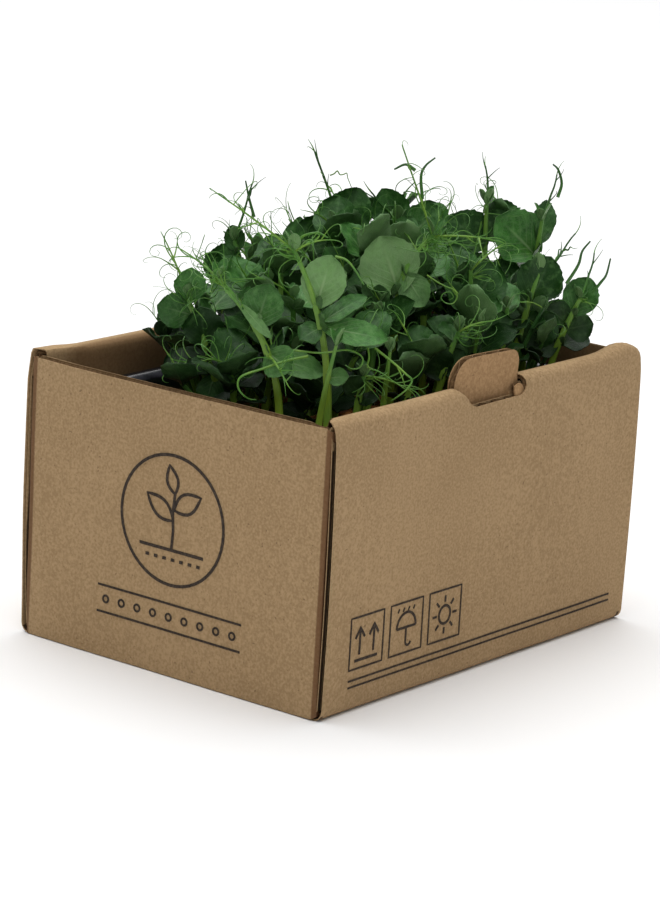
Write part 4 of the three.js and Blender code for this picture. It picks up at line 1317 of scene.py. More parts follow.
def bare_stems(owner):
    """Stout stems behind the near corner, bare up to the bud at their tip."""
    found = []
    for attempt in range(BARE_STEMS_TRIED):
        x, y = draw(-76, -12), draw(-47, -4)
        stem_only = {"root": (x, y), "top": (x + draw(-5, 5), y + draw(-5, 5), MAT_TOP + draw(28, 46)),
                     "leaves": [], "tendrils": [], "blades": [], "curls": []}
        beads = [(point, BARE_BEAD, joined_here) for point, radius, joined_here in stem_beads(stem_only)]
        if not any(meets(bead, None) for bead in beads):
            keep(beads, owner + len(found))
            found.append(stem_only)
    return found


sown_young = young_shoots()
bare = bare_stems(len(shoots) + len(sown_young))
young = unfold_all(sown_young)
print(len(young), "young shoots with", sum(len(shoot["blades"]) for shoot in young), "leaves")
print(len(bare), "bare stems")

# %% [markdown]
# ## One leaf, modelled once
# A pea leaf is a rounded oval about as wide as it is long, with a fine point. It starts as a grid
# primitive whose rows are drawn in to the leaf's outline, so its ends close to a point, and gets
# its thickness from a Solidify modifier. The result lies flat: x runs from 0 at the base to 1 at
# the tip, y is in leaf widths and z is one half above and below. Every leaf in the tray is a copy
# of such a flat leaf, bent onto its own place.

# %% Flat master leaves
def leaf_outline(reach):
    """Half a width for each reach: a wedge at the base, broadest past the middle, a blunt tip."""
    reach = min(max(reach, 0), 1)
    return 0.5 * math.sin(math.pi * reach ** 1.06) ** 0.6


def points_and_faces(piece):
    """The shape of a piece as numbers, for copies that are bent each in its own way."""
    points = np.array([vertex.co for vertex in piece.data.vertices], float)
    faces = [tuple(polygon.vertices) for polygon in piece.data.polygons]
    bpy.data.objects.remove(piece)
    return points, faces


def flat_leaf(name, rows, columns, outline, teeth=0.0):
    """A leaf with its rows closer together at both ends; its teeth start a third of the way up."""
    bpy.ops.object.select_all(action="DESELECT")
    bpy.ops.mesh.primitive_grid_add(x_subdivisions=rows, y_subdivisions=columns, size=1)
    leaf = bpy.context.object
    leaf.name = name
    for vertex in leaf.data.vertices:
        share = vertex.co.x + 0.5
        reach = 0.45 * share + 0.55 * (0.5 - 0.5 * math.cos(math.pi * share))
        side = 2 * vertex.co.y
        toothed = teeth * min(max(reach - 0.35, 0) * 3, 1)
        edge = 1 + toothed * math.sin(71 * reach + (0 if side > 0 else 1.7)) * abs(side) ** 10
        vertex.co = (reach, outline(reach) * side * edge, 0)
    start_edit(leaf)
    bpy.ops.mesh.remove_doubles(threshold=1e-4)
    bpy.ops.object.mode_set(mode="OBJECT")
    thicken(leaf, 1)
    apply_modifiers(leaf)
    points, faces = points_and_faces(leaf)
    widths = np.array([max(outline(reach), 1e-3) for reach in points[:, 0]])
    side = np.clip(points[:, 1] / widths, -1, 1)
    return {"points": points, "faces": faces, "side": side}


def stipule_outline(reach):
    """Broad and clasping at the base, drawn out to the tip."""
    return 0.5 * (1 - reach ** 1.6) ** 0.8 * (0.35 + 0.65 * min(1, reach * 7))


FINE_LEAF = flat_leaf("fine_leaf", 22, 12, leaf_outline, 0.05)
SMALL_LEAF = flat_leaf("small_leaf", 9, 6, leaf_outline)
STIPULE = flat_leaf("stipule", 8, 6, stipule_outline, 0.12)
print("faces of a leaf:", len(FINE_LEAF["faces"]), len(SMALL_LEAF["faces"]), len(STIPULE["faces"]))

# %% [markdown]
# ## Leaf and stem finishes
# The upper face of a pea leaf is deep green with a bloom of wax, and the lower face is paler and
# greyer. A light midrib sends out about seven arched veins to each side, with a fine net between
# them. The pattern reads a map that each leaf carries: U runs along it and V across it. Two
# attributes say how pale this leaf is, painted shade included, and which face it is on. Low down
# between the others shade is painted into a leaf, which goes almost black. Stems are yellow green
# at the foot.

# %% Veins and the green between them
def attribute_of(finish, name):
    return finish.node("ShaderNodeAttribute", attribute_name=name).outputs["Fac"]


def line_at(finish, distance, width):
    """1 on a line and 0 away from it."""
    return finish.calculate("SUBTRACT", 1.0, finish.between(distance, 0.0, width))


leaf_skin = Finish("pea_leaf", roughness=0.5, specular=0.26)
tone, under = attribute_of(leaf_skin, "tone"), attribute_of(leaf_skin, "under")
blade_map = leaf_skin.node("ShaderNodeUVMap", uv_map="blade_map").outputs[0]
reach_of, side_of = leaf_skin.axes(blade_map)[:2]
away = leaf_skin.calculate("ABSOLUTE", side_of)
arch = leaf_skin.calculate(
    "ADD", leaf_skin.times(away, 0.42), leaf_skin.times(leaf_skin.calculate("POWER", away, 2.0), 0.14))
start = leaf_skin.calculate("SUBTRACT", reach_of, arch)
to_one_side = leaf_skin.calculate("GREATER_THAN", side_of, 0.0)
shifted = leaf_skin.calculate("ADD", leaf_skin.times(start, 6.0), leaf_skin.times(to_one_side, 0.45))
side_veins = line_at(leaf_skin, leaf_skin.calculate("PINGPONG", shifted, 0.5), 0.16)
midrib = line_at(leaf_skin, away, 0.1)
net = leaf_skin.node(
    "ShaderNodeTexVoronoi", {"Vector": blade_map, "Scale": 15.0}, feature="DISTANCE_TO_EDGE")
net_lines = line_at(leaf_skin, net.outputs["Distance"], 0.12)
veins = leaf_skin.calculate("MAXIMUM", midrib, leaf_skin.times(side_veins, 0.5))
strong_veins = leaf_skin.times(veins, leaf_skin.between(reach_of, 1.05, 0.0))
all_veins = leaf_skin.calculate("MAXIMUM", strong_veins, leaf_skin.times(net_lines, 0.2))
glow = leaf_skin.times(line_at(leaf_skin, away, 0.9), leaf_skin.between(reach_of, 0.5, 0.0))
print("veins in", leaf_skin.material.name)

# %% Leaf colour, relief and gloss
bloom = leaf_skin.between(leaf_skin.noise(160, 4), 0.35, 0.7)
fleck = leaf_skin.between(leaf_skin.noise(1500, 2), 0.6, 0.72)
blotch = leaf_skin.noise(420, 4)
wax = leaf_skin.times(leaf_skin.times(bloom, tone), 0.3)
upper_face = leaf_skin.mix(tone, (0.004, 0.028, 0.003, 1), (0.052, 0.215, 0.027, 1))
upper_face = leaf_skin.mix(wax, upper_face, (0.1, 0.23, 0.08, 1))
lower_face = leaf_skin.mix(tone, (0.014, 0.066, 0.01, 1), (0.2, 0.37, 0.13, 1))
lower_face = leaf_skin.mix(wax, lower_face, (0.25, 0.38, 0.19, 1))
green = leaf_skin.mix(under, upper_face, lower_face)
green = leaf_skin.mix(leaf_skin.times(fleck, 0.1), green, (0.2, 0.3, 0.17, 1))
green = leaf_skin.mix(leaf_skin.times(glow, 0.45), green, (0.1, 0.26, 0.03, 1))
blotch_share = leaf_skin.calculate("SUBTRACT", 0.4, leaf_skin.times(under, 0.34))
dark_blotch = leaf_skin.times(leaf_skin.between(blotch, 0.52, 0.38), blotch_share)
green = leaf_skin.mix(dark_blotch, green, (0.008, 0.05, 0.006, 1))
pale_blotch = leaf_skin.times(leaf_skin.between(blotch, 0.52, 0.68), 0.25)
green = leaf_skin.mix(pale_blotch, green, (0.16, 0.36, 0.1, 1))
vein_colour = leaf_skin.mix(tone, (0.045, 0.16, 0.02, 1), (0.4, 0.56, 0.28, 1))
green = leaf_skin.mix(leaf_skin.times(all_veins, 0.6), green, vein_colour)
# painted shade: low in the tray, dark leaves are mixed towards near black
low_down = leaf_skin.between(leaf_skin.axes(leaf_skin.place)[2], 142 * MM, 98 * MM)
painted_low_shade = leaf_skin.times(leaf_skin.times(low_down, leaf_skin.between(tone, 0.8, 0.4)), 0.8)
leaf_skin.give("Base Color", leaf_skin.mix(painted_low_shade, green, (0.004, 0.016, 0.003, 1)))
relief = leaf_skin.calculate("ADD", leaf_skin.times(all_veins, -0.5), leaf_skin.times(blotch, 0.6))
leaf_skin.bump(relief, 0.7, 0.5 * MM)
leaf_skin.give("Roughness", leaf_skin.spread(bloom, 0.36, 0.52))
print(leaf_skin.material.name, "has", len(leaf_skin.tree.nodes), "nodes")

# %% Stem and tendril skin
stem_skin = Finish("pea_stem", roughness=0.4, specular=0.3)
stem_tone = attribute_of(stem_skin, "tone")
fresh = stem_skin.mix(stem_tone, (0.33, 0.48, 0.035, 1), (0.1, 0.265, 0.045, 1))
stem_colour = stem_skin.mix(stem_skin.between(stem_tone, 0.95, 1.9), fresh, (0.03, 0.1, 0.02, 1))
stem_mottle = stem_skin.between(stem_skin.noise(260, 4, (1, 1, 0.25)), 0.4, 0.75)
mottled = stem_skin.times(stem_mottle, stem_skin.between(stem_tone, 1.3, 0.9))
stem_skin.give("Base Color", stem_skin.mix(mottled, stem_colour, (0.2, 0.37, 0.05, 1)))
stem_skin.bump(stem_skin.noise(900, 2, (1, 1, 0.15)), 0.3, 0.2 * MM)
print(stem_skin.material.name, "has", len(stem_skin.tree.nodes), "nodes")

# %% [markdown]
# ## Bending the leaves onto their places
# `Growth` gathers the copies of one piece: their points, their faces, the map and the two
# attributes. `unfold` lays a flat leaf on a blade of the growth rule. It keeps the rule's arch and
# its raised edges, and adds what is too fine for the solid: a soft wave of the margin, a fold along
# the midrib near the base, and the midrib itself, sunk above and raised below.

# %% Gathering and unfolding
class Growth:
    """All that goes into one piece; a skin is the place of a face's material in its list."""

    def __init__(self):
        self.points, self.faces, self.skins, self.maps, self.tones, self.unders = [], [], [], [], [], []
        self.count = 0

    def add(self, points, faces, skin, chart, tone_values, under_values):
        self.points.append(points)
        self.faces += [tuple(corner + self.count for corner in face) for face in faces]
        self.skins += [skin] * len(faces)
        self.maps.append(chart)
        self.tones.append(np.broadcast_to(tone_values, len(points)))
        self.unders.append(np.broadcast_to(under_values, len(points)))
        self.count += len(points)

    def piece(self, name):
        made = new_piece(name, np.concatenate(self.points) * MM, self.faces)
        mesh = made.data
        mesh.materials.append(leaf_skin.material)
        mesh.materials.append(stem_skin.material)
        mesh.polygons.foreach_set("material_index", self.skins)
        corners = np.empty(len(mesh.loops), np.int32)
        mesh.loops.foreach_get("vertex_index", corners)
        chart = mesh.uv_layers.new(name="blade_map")
        chart.data.foreach_set("uv", np.concatenate(self.maps)[corners].astype(np.float32).ravel())
        for label, values in (("tone", self.tones), ("under", self.unders)):
            layer = mesh.attributes.new(label, "FLOAT", "POINT")
            layer.data.foreach_set("value", np.concatenate(values).astype(np.float32))
        return made


# %% A leaf on its blade
LEAF_SKIN, STEM_SKIN = 0, 1  # places in a piece's list of materials
RIB_SUNK, RIB_RAISED = 0.16, 0.42


def unfold(growth, form, blade, shade, thickness=0.34, wave=0.06, paleness=0.0):
    """Lays a copy of a flat leaf on a blade."""
    points, side = form["points"], form["side"]
    reach = points[:, 0]
    base, along, across, facing = (np.array(blade[key]) for key in ("base", "along", "across", "facing"))
    length, width = blade["length"], blade["width"]
    phase = 7 * math.sin(base[0] * 3.1 + base[2])
    rise = 0.1 * width * side ** 2 * reach - 0.12 * length * reach ** 2
    rise += wave * width * np.sin(2 * math.pi * 1.7 * reach + phase + 0.8 * side) * side ** 2
    rise += 0.11 * width * (np.abs(side) - 0.3) * (1 - reach) ** 2
    rib = np.exp(-((side * width / 1.3) ** 2)) * (1 - 0.7 * reach) * min(length / 16, 1)
    rise -= np.where(points[:, 2] > 0, RIB_SUNK, RIB_RAISED) * rib
    placed = (
        base + np.outer(length * reach, along) + np.outer(width * points[:, 1], across)
        + np.outer(rise + thickness * points[:, 2], facing)
    )
    chart = np.stack([reach, side], axis=1)
    growth.add(placed, form["faces"], LEAF_SKIN, chart, shade, np.where(points[:, 2] > 0, paleness, 1.0))


# %% A tube along a line
def tube(growth, line, radii, sides, tones, square=0.0):
    """A closed tapering tube along a line of points, with its frame carried along."""
    line = np.array(line, float)
    ways = np.gradient(line, axis=0)
    ways /= np.maximum(np.linalg.norm(ways, axis=1), 1e-9)[:, None]
    first = np.cross(ways[0], (0.3, 1, 0.2) if abs(ways[0][1]) < 0.8 else (1, 0.2, 0.3))
    turns = 2 * math.pi * np.arange(sides) / sides
    rings = []
    for point, way, radius in zip(line, ways, radii):
        first = first - way * first.dot(way)
        first /= np.linalg.norm(first)
        second = np.cross(way, first)
        spread = radius * (1 + square * np.cos(4 * turns))[:, None]
        rings.append(point + spread * (np.outer(np.cos(turns), first) + np.outer(np.sin(turns), second)))
    count = len(rings)
    faces = [
        (r * sides + s, r * sides + (s + 1) % sides, (r + 1) * sides + (s + 1) % sides, (r + 1) * sides + s)
        for r in range(count - 1) for s in range(sides)
    ]
    faces += [tuple(range(sides))[::-1], tuple((count - 1) * sides + s for s in range(sides))]
    points = np.concatenate(rings)
    chart = np.stack([np.repeat(np.linspace(0, 1, count), sides), np.tile(turns / 6.3, count)], axis=1)
    growth.add(points, faces, STEM_SKIN, chart, np.repeat(tones, sides), 0.0)


print("a leaf takes", len(FINE_LEAF["points"]), "points, or", len(SMALL_LEAF["points"]), "on a young shoot")

# %% [markdown]
# ## Tendrils
# A tendril leaves the tip of a leaf stalk as a straight thread, forks, and winds up where it finds
# nothing to hold. The winding is worked out step by step: at each step the thread's direction is
# turned a little more about an axis that itself drifts, so no two coils are alike.

# %% Winding threads
THREAD_SIDES = 4
LOW_CORNER = np.array(CAD_BOX[0]) / MM + 0.5
HIGH_CORNER = np.array(CAD_BOX[1]) / MM + 1.5


def turned(vector, axis, angle):
    """A vector turned about a unit axis."""
    return (vector * math.cos(angle) + np.cross(axis, vector) * math.sin(angle)
            + axis * axis.dot(vector) * (1 - math.cos(angle)))


def unit(vector):
    return vector / max(np.linalg.norm(vector), 1e-9)


def winding(start, way, length, first_bend, last_bend, steps):
    """Points of a thread whose bend, in degrees a millimetre, grows towards its tip."""
    point, way = np.array(start, float), unit(np.array(way, float))
    axis = unit(np.cross(way, np.array((draw(-1, 1), draw(-1, 1), draw(-1, 1)))))
    points, stride = [point], length / steps
    drift = draw(-4, 4)
    for step in range(steps):
        bend = first_bend + (last_bend - first_bend) * (step / steps) ** 1.5
        way = unit(turned(way, axis, math.radians(bend * stride)))
        axis = unit(turned(axis, way, math.radians(drift * stride)))
        point = point + way * stride
        points.append(point)
    return points


def thread(growth, start, way, length, first_bend, last_bend, radius, steps=16, tone=0.95):
    """A winding thread, shorter where it would leave the room there is, or none."""
    for size in (1, 0.7, 0.45, 0.25):
        points = np.array(winding(start, way, length * size, first_bend, last_bend / size ** 0.5, steps))
        clear = (points > LOW_CORNER).all() and (points < HIGH_CORNER).all() and points[:, 2].min() > MAT_TOP
        if clear:
            radii = np.linspace(radius, 0.3 * radius, steps + 1)
            tube(growth, points, radii, THREAD_SIDES, np.linspace(tone, tone + 0.4, steps + 1))
            return


# %% Tendrils, long threads and fans
LONG_THREAD_STEPS = 5
FAN_THREAD = 0.24


def curly_tendril(growth, tendril, radius, extra, stiff=False):
    """The rule's own tendril and forks, with finer side threads; a stiff one hardly winds up."""
    last_bend = (4, 14) if stiff else (35, 60)
    tones = (1.1, 1.0) if stiff else (0.6, 0.4)
    for branch, thick in [(tendril, radius)] + [(fork, radius * 0.72) for fork in tendril["forks"]]:
        reaches = np.linspace(0, 1, 11)
        crooked = 0.5 * np.sin(9 * reaches + 40 * branch["length"])[:, None] * reaches[:, None] * stiff
        line = np.array([tendril_point(branch, reach) for reach in reaches]) + crooked
        tube(growth, line, thick * (1 - 0.5 * reaches), 5, tones[0] + tones[1] * reaches)
        way = line[-1] - line[-2]
        thread(growth, line[-1], way, draw(4, 8) if stiff else draw(5, 14), 6, draw(*last_bend), thick * 0.5)
    for number in range(extra):
        reach = draw(0.35, 0.95) if stiff else draw(0.15, 0.95)
        start = np.array(tendril_point(tendril, reach))
        way = unit(np.array(tendril["along"])) + np.array((draw(-1, 1), draw(-1, 1), draw(-0.7, 0.8)))
        long, first_bend = draw(5, 11) if stiff else draw(9, 24), draw(0, 5)
        side_bend = draw(*last_bend) if stiff else draw(12, 45)
        thread(growth, start, way, long, first_bend, side_bend, radius * 0.55, tone=1.6 if stiff else 0.95)


def smooth_point(before, start, end, after, t):
    """A share t of the way from start to end, on a smooth curve past four points."""
    first = (end - before) * t
    second = (2 * before - 5 * start + 4 * end - after) * t ** 2
    third = (3 * start - before - 3 * end + after) * t ** 3
    return 0.5 * (2 * start + first + second + third)


def long_thread(growth, points, thick, tone=0.8):
    """A thread drawn smoothly through its control points, finer towards its tip."""
    points = np.array(points, float)
    ends = np.vstack([2 * points[0] - points[1], points, 2 * points[-1] - points[-2]])
    line = [smooth_point(*four, t) for four in zip(ends, ends[1:], ends[2:], ends[3:])
            for t in np.arange(LONG_THREAD_STEPS) / LONG_THREAD_STEPS]
    line.append(points[-1])
    radii, tones = np.linspace(thick, 0.45 * thick, len(line)), np.linspace(tone, tone + 0.4, len(line))
    tube(growth, line, radii, 6, tones)


def fan(growth, shoot, count, headings, lifts, lengths):
    """Fine threads that spread from the tip of a shoot."""
    for number in range(count):
        start = np.array(stem_point(shoot, draw(0.93, 1.01)))
        way = np.array(direction(draw(*headings), draw(*lifts)))
        thread(growth, start, way, draw(*lengths), draw(-3, 4), draw(6, 60), FAN_THREAD, steps=20)


# %% [markdown]
# ## Whole shoots
# A stem is a four-angled tube that swells where a leaf joins it. At each joint two stipules clasp
# the stem, and the tip carries the next leaves, still folded round each other. One piece replaces
# one shoot of the solid model.

# %% Stems, joints and buds
# radius of the stem at its foot and at its tip, rings along it, and sides
TALL_STEM, BARE_STEM, YOUNG_STEM = (1.75, 0.8, 26, 8), (1.55, 0.6, 12, 7), (1.25, 0.6, 12, 6)
STEM_SUNK = 3  # how deep a stem stands in the mat
KNEE, KNEE_HEIGHT = 0.22, 2.2  # how much a stem swells at a joint, and over which height
FOUR_ANGLED = 0.07
TENDRIL_RADIUS, STIFF_RADIUS, TWIG_RADIUS, YOUNG_RADIUS = 0.5, 0.62, 0.7, 0.33
STIPULE_SIZE = 0.42  # of the length of the leaf above it
SAME_JOINT = 0.09


def stem(growth, shoot, foot_radius, tip_radius, rings, sides, shade=0.0):
    height = shoot["top"][2] - MAT_TOP
    places = np.linspace(-STEM_SUNK / height, 1, rings)
    swelling = np.zeros(rings)
    for blade in shoot["blades"]:
        swelling = np.maximum(swelling, np.exp(-(((places - blade["place"]) * height / KNEE_HEIGHT) ** 2)))
    radii = (foot_radius + (tip_radius - foot_radius) * np.clip(places, 0, 1)) * (1 + KNEE * swelling)
    line = [stem_point(shoot, place) for place in places]
    tube(growth, line, radii, sides, np.clip(places * 1.1, 0, 1) + shade, FOUR_ANGLED)


def stipules(growth, shoot, shade):
    """Two clasping stipules under each leaf joint."""
    done = []
    for blade in shoot["blades"]:
        if any(abs(blade["place"] - place) < SAME_JOINT for place in done):
            continue
        done.append(blade["place"])
        heading = math.degrees(math.atan2(blade["along"][1], blade["along"][0]))
        for side in (70, -70):
            long = STIPULE_SIZE * blade["length"] * draw(0.8, 1.1)
            leaf = (blade["place"], heading + side, 48 + draw(-12, 12), long, long * 0.72, side * 0.9)
            unfold(growth, STIPULE, blade_of(shoot, leaf), shade, 0.3)


def bud(growth, shoot, shade, size):
    """Folded young leaves at the tip of a shoot."""
    heading = draw(0, 360)
    for turn in (0, 180, 90):
        long = size * draw(0.8, 1.15)
        leaf = (1.0, heading + turn, 72 + draw(-8, 8), long, long * 0.6, 10)
        unfold(growth, SMALL_LEAF, blade_of(shoot, leaf), shade, 0.3, 0.02)


def shade_at(height, low_end, high_end):
    """How pale a leaf is: drawn between two ends, with painted shade that darkens it the lower it stands in
    the tray.
    """
    # painted shade: the lower a leaf, the darker its tone
    return draw(low_end, high_end) * (0.12 + 0.88 * ramp(height, MAT_TOP + 6, MAT_TOP + 50))


print("stems of", TALL_STEM[0], BARE_STEM[0], "and", YOUNG_STEM[0], "mm at the foot")

# %% [markdown]
# ## What only single shoots have
# The shoots in front are seen one by one, so more is listed for them: how pale and how folded
# some of their leaves are, threads drawn through control points, stiff dark twigs at the top, and
# fans of fine threads. Shoots and leaves are numbered from 0, and places are in millimetres.

# %% Leaves with a look of their own
# (shoot, leaf): how light its green is, and how much of the pale bloom of the underside it has
PALE_LEAVES = {
    (0, 0): (1.0, 0.9), (0, 1): (0.85, 0.5), (0, 2): (0.45, 0.3), (0, 4): (0.5, 0.3), (0, 5): (0.9, 0.6),
    (1, 0): (0.95, 0.8), (1, 1): (0.95, 0.05), (1, 4): (1.0, 0.3), (2, 0): (0.9, 0.6), (2, 1): (0.6, 0.1),
    (2, 2): (0.75, 0.2), (2, 3): (0.85, 0.35), (3, 1): (0.5, 0.0), (3, 3): (0.6, 0.0),
}
# (shoot, leaf): how much of its width is left, as its two halves are folded towards each other
NARROW_LEAVES = {(1, 1): 0.75, (2, 0): 0.5}
print(len(PALE_LEAVES), "leaves with their own green")

# %% Free threads
# shoot: thickness and control points of the threads that hang free in front
LONG_THREADS = {
    0: [(0.34, [(4.8, -33.1, 140.6), (5.7, -36.7, 138.8), (6.7, -40.2, 137.4), (8.5, -43.1, 136.2),
                (8.8, -44.4, 133.8), (7.5, -43.7, 131.5), (6, -41.7, 131.4), (5.1, -39.9, 133.1),
                (6.1, -40.4, 134.9), (7.5, -42.1, 135.4), (7.9, -43.3, 133.7), (6.8, -42.3, 132.5)])],
    1: [(0.5, [(-51.2, -53.5, 124.9), (-50, -57.8, 122.3), (-48.9, -62, 119.7), (-48.2, -65.6, 117.3),
               (-47.2, -67.6, 115.4), (-48.8, -66.9, 112.3), (-50.7, -64.1, 109.1), (-51.4, -62.2, 107.4)]),
        (0.34, [(-48.9, -62, 119.7), (-49.2, -64.7, 116.2), (-49.1, -66.1, 113.2)]),
        (0.36, [(-52.7, -51.6, 124.8), (-53.8, -53.2, 121.6), (-55.3, -54.1, 118.8), (-53, -57.7, 117.3),
                (-50.6, -61.9, 114.5), (-48.5, -65.8, 112)]),
        (0.6, [(-60.9, -23, 156.2), (-60.5, -23.8, 159.5), (-59.2, -26.2, 161.9), (-56.4, -29.4, 162.8),
               (-54.5, -32.5, 161.3)]),
        (0.6, [(-46.1, -29.9, 153.1), (-45.6, -34.1, 152.6), (-45.1, -37.6, 149.9), (-44.6, -42, 144.8)])],
    2: [(0.55, [(-69.8, -38.5, 121.9), (-75.9, -33.1, 120), (-82.1, -28, 117.1), (-86.6, -24.6, 115.3),
                (-88.4, -23, 113.5), (-89.1, -23.3, 110.8), (-88.6, -24.9, 108.5), (-86.6, -26.5, 106.7),
                (-84.4, -27.9, 106.3)]),
        (0.45, [(-73.7, -23.4, 121.9), (-71.9, -31.9, 123.2), (-67, -41.6, 123.2), (-61.4, -48.2, 124.7),
                (-59, -51.7, 123.9), (-58, -53.7, 122), (-59.1, -53.5, 119.2), (-60.9, -51.4, 118.4),
                (-62.2, -49.2, 119.6)])],
    5: [(0.3, [(21.3, 27.3, 166.6), (22.4, 26.2, 167.3), (23.3, 25.4, 168.4), (23.7, 24.4, 167.1),
               (24.6, 23.3, 167.3), (25.4, 22.5, 167.8), (25.3, 21.9, 166.2), (25.5, 20.8, 164.1),
               (25.7, 19.8, 162.2)])],
    7: [(0.3, [(64.4, -14.7, 157.6), (60.5, -15.5, 147.7), (57.2, -16.3, 139.6), (54.8, -16.5, 135.6),
               (51.8, -14.7, 130.6), (48.4, -11.8, 127.1)])],
    10: [(0.42, [(23.6, -41.4, 110.1), (24.5, -42.2, 115.1), (23.3, -40.9, 118.8), (21.7, -37.8, 121.1),
                 (19.2, -34.5, 121.3), (17.2, -32.9, 119), (16.3, -32.9, 116)]),
         (0.34, [(23.6, -41.4, 110.1), (24.1, -43.9, 113.9), (23.1, -42.5, 118.3), (21.7, -39.6, 120.7),
                 (19.2, -36.9, 119.8), (17.4, -35.7, 116.8), (17.6, -37.2, 114)])],
}
print(sum(len(threads) for threads in LONG_THREADS.values()), "free threads")

# %% Twigs and fans
# shoots whose tendrils stand stiff and dark at the top, and the control points of more such twigs
STIFF = {4, 5, 6, 7, 8, 9, 11}
TWIGS = {
    0: [[(10, -25, 167), (11, -23, 175), (12, -24, 179), (15, -26, 182)],
        [(10, -21, 177), (8, -18, 179), (5, -15, 177)]],
    4: [[(-12, 36, 153), (-12, 39, 160), (-12, 41, 166)]],
    8: [[(80, -37, 162), (82, -37, 167), (82, -35, 172), (81, -33, 174)]],
    9: [[(62, -56, 134), (66, -58, 141), (68, -58, 146), (70, -60, 150)]],
    11: [[(77, -58, 129), (79, -60, 133), (81, -61, 136), (83, -61, 142)]],
}
# shoot: how many threads, the headings, lifts and lengths they are drawn from
FANS = {
    0: (34, (-150, 40), (-45, 65), (12, 30)),
    1: (16, (60, 220), (-20, 70), (10, 26)),
    2: (22, (60, 220), (-10, 70), (10, 28)),
    3: (16, (60, 260), (-20, 70), (10, 24)),
    4: (8, (-180, 180), (0, 80), (8, 20)),
    5: (8, (-180, 180), (0, 80), (8, 20)),
    7: (6, (-180, 180), (0, 80), (8, 16)),
    10: (10, (-120, 20), (-20, 60), (10, 22)),
    11: (6, (-120, 20), (-20, 60), (8, 18)),
    12: (12, (-150, 20), (-30, 40), (10, 24)),
    13: (12, (-150, 20), (-30, 40), (10, 24)),
}
print(sum(FANS[number][0] for number in FANS), "threads in", len(FANS), "fans")

# %% The shoots of the solid model, one piece each
for number, shoot in enumerate(shoots):
    growth = Growth()
    stem(growth, shoot, *TALL_STEM)
    for place, blade in enumerate(shoot["blades"]):
        middle = blade["base"][2] + 0.5 * blade["length"] * blade["along"][2]
        shade, paleness = PALE_LEAVES.get((number, place), (shade_at(middle, 0.05, 0.85), 0.0))
        if (number, place) in NARROW_LEAVES:
            blade = {**blade, "width": blade["width"] * NARROW_LEAVES[(number, place)]}
        unfold(growth, FINE_LEAF, blade, shade, wave=0.03 if paleness else 0.06, paleness=paleness)
    stipules(growth, shoot, draw(0.2, 0.5))
    bud(growth, shoot, draw(0.5, 0.9), 7)
    for curl in shoot["curls"]:
        if number in STIFF:
            curly_tendril(growth, curl, STIFF_RADIUS, 2, stiff=True)
        else:
            curly_tendril(growth, curl, TENDRIL_RADIUS, 6 if shoot["root"][0] < -30 else 3)
    if number in FANS:
        fan(growth, shoot, *FANS[number])
    for thick, points in LONG_THREADS.get(number, []):
        long_thread(growth, points, thick)
    for points in TWIGS.get(number, []):
        long_thread(growth, points, TWIG_RADIUS, tone=1.5)
    name = f"shoot_{number + 1:02d}"
    hang(growth.piece("pea_" + name), "pea_shoot", name)

# %% Bare stems and beds of young shoots
growth = Growth()
for shoot in bare:
    stem(growth, shoot, *BARE_STEM, draw(0, 0.6))
    bud(growth, shoot, draw(0.55, 0.95), 7)
hang(growth.piece("pea_bare_stems"), "pea_shoot")

YOUNG_BEDS = 4
for bed in range(YOUNG_BEDS):
    growth = Growth()
    for number in range(bed, len(young), YOUNG_BEDS):
        shoot = young[number]
        stem(growth, shoot, *YOUNG_STEM, draw(0.2, 1.2))
        for blade in shoot["blades"]:
            unfold(growth, SMALL_LEAF, blade, shade_at(blade["base"][2], 0.0, 0.55), 0.3)
        bud(growth, shoot, draw(0.2, 0.7), 5)
        for curl in shoot["curls"]:
            curly_tendril(growth, curl, YOUNG_RADIUS, 2)
    hang(growth.piece(f"pea_young_shoots_{bed + 1}"), "pea_shoot")

# %% [markdown]
# ## Growing mat and sown peas
# The mat is damp dark coir, matted with roots. Its top is a grid with a rounded outline and a
# rough, lumpy surface. Its sides come from the top's edge, extruded down twice and drawn in a
# little, and one face closes it underneath. Peas lie on it, split and shrivelled, most of them at
# the foot of a stem.

# %% Coir, root and pea skin
coir = two_tone(
    "coir_mat", 0.95, 0.15, (520, 6), (0.35, 0.7), (0.008, 0.005, 0.003, 1), (0.055, 0.032, 0.016, 1))
coir.bump(coir.noise(520, 6), 0.8, 0.8 * MM)
root_skin = two_tone(
    "pea_root", 0.7, 0.3, (90, 3), (0.4, 0.6), (0.05, 0.03, 0.015, 1), (0.34, 0.27, 0.16, 1))
pea_skin = two_tone(
    "sown_pea", 0.5, 0.4, (210, 4), (0.38, 0.66), (0.16, 0.05, 0.012, 1), (0.5, 0.2, 0.045, 1))
pea_skin.bump(pea_skin.noise(900, 3), 0.4, 0.3 * MM)
print("finishes:", [finish.material.name for finish in (coir, root_skin, pea_skin)])

# %% Mat
MAT_INSET = 8.6
MAT_HALF = (TRAY_LENGTH / 2 - MAT_INSET, TRAY_DEPTH / 2 - MAT_INSET)
MAT_CORNER = 8
MAT_DROPS = (6 * MM, 5.4 * MM)
LUMPS = ((1.5, 9, 3), (0.8, 3.1, 5))  # height, width and seed of the coarse and the fine lumps


def rounded(x, y):
    """A point of the plain rectangle, drawn in where the rectangle has round corners."""
    over_x = abs(x) - (MAT_HALF[0] - MAT_CORNER)
    over_y = abs(y) - (MAT_HALF[1] - MAT_CORNER)
    if over_x <= 0 or over_y <= 0:
        return x, y
    shrink = max(over_x, over_y) / math.hypot(over_x, over_y)
    return (math.copysign(MAT_HALF[0] - MAT_CORNER + over_x * shrink, x),
            math.copysign(MAT_HALF[1] - MAT_CORNER + over_y * shrink, y))


def mat_height(x, y):
    lumps = sum(size * noise.noise(Vector((x / width, y / width, seed))) for size, width, seed in LUMPS)
    return MAT_TOP - 0.9 + lumps


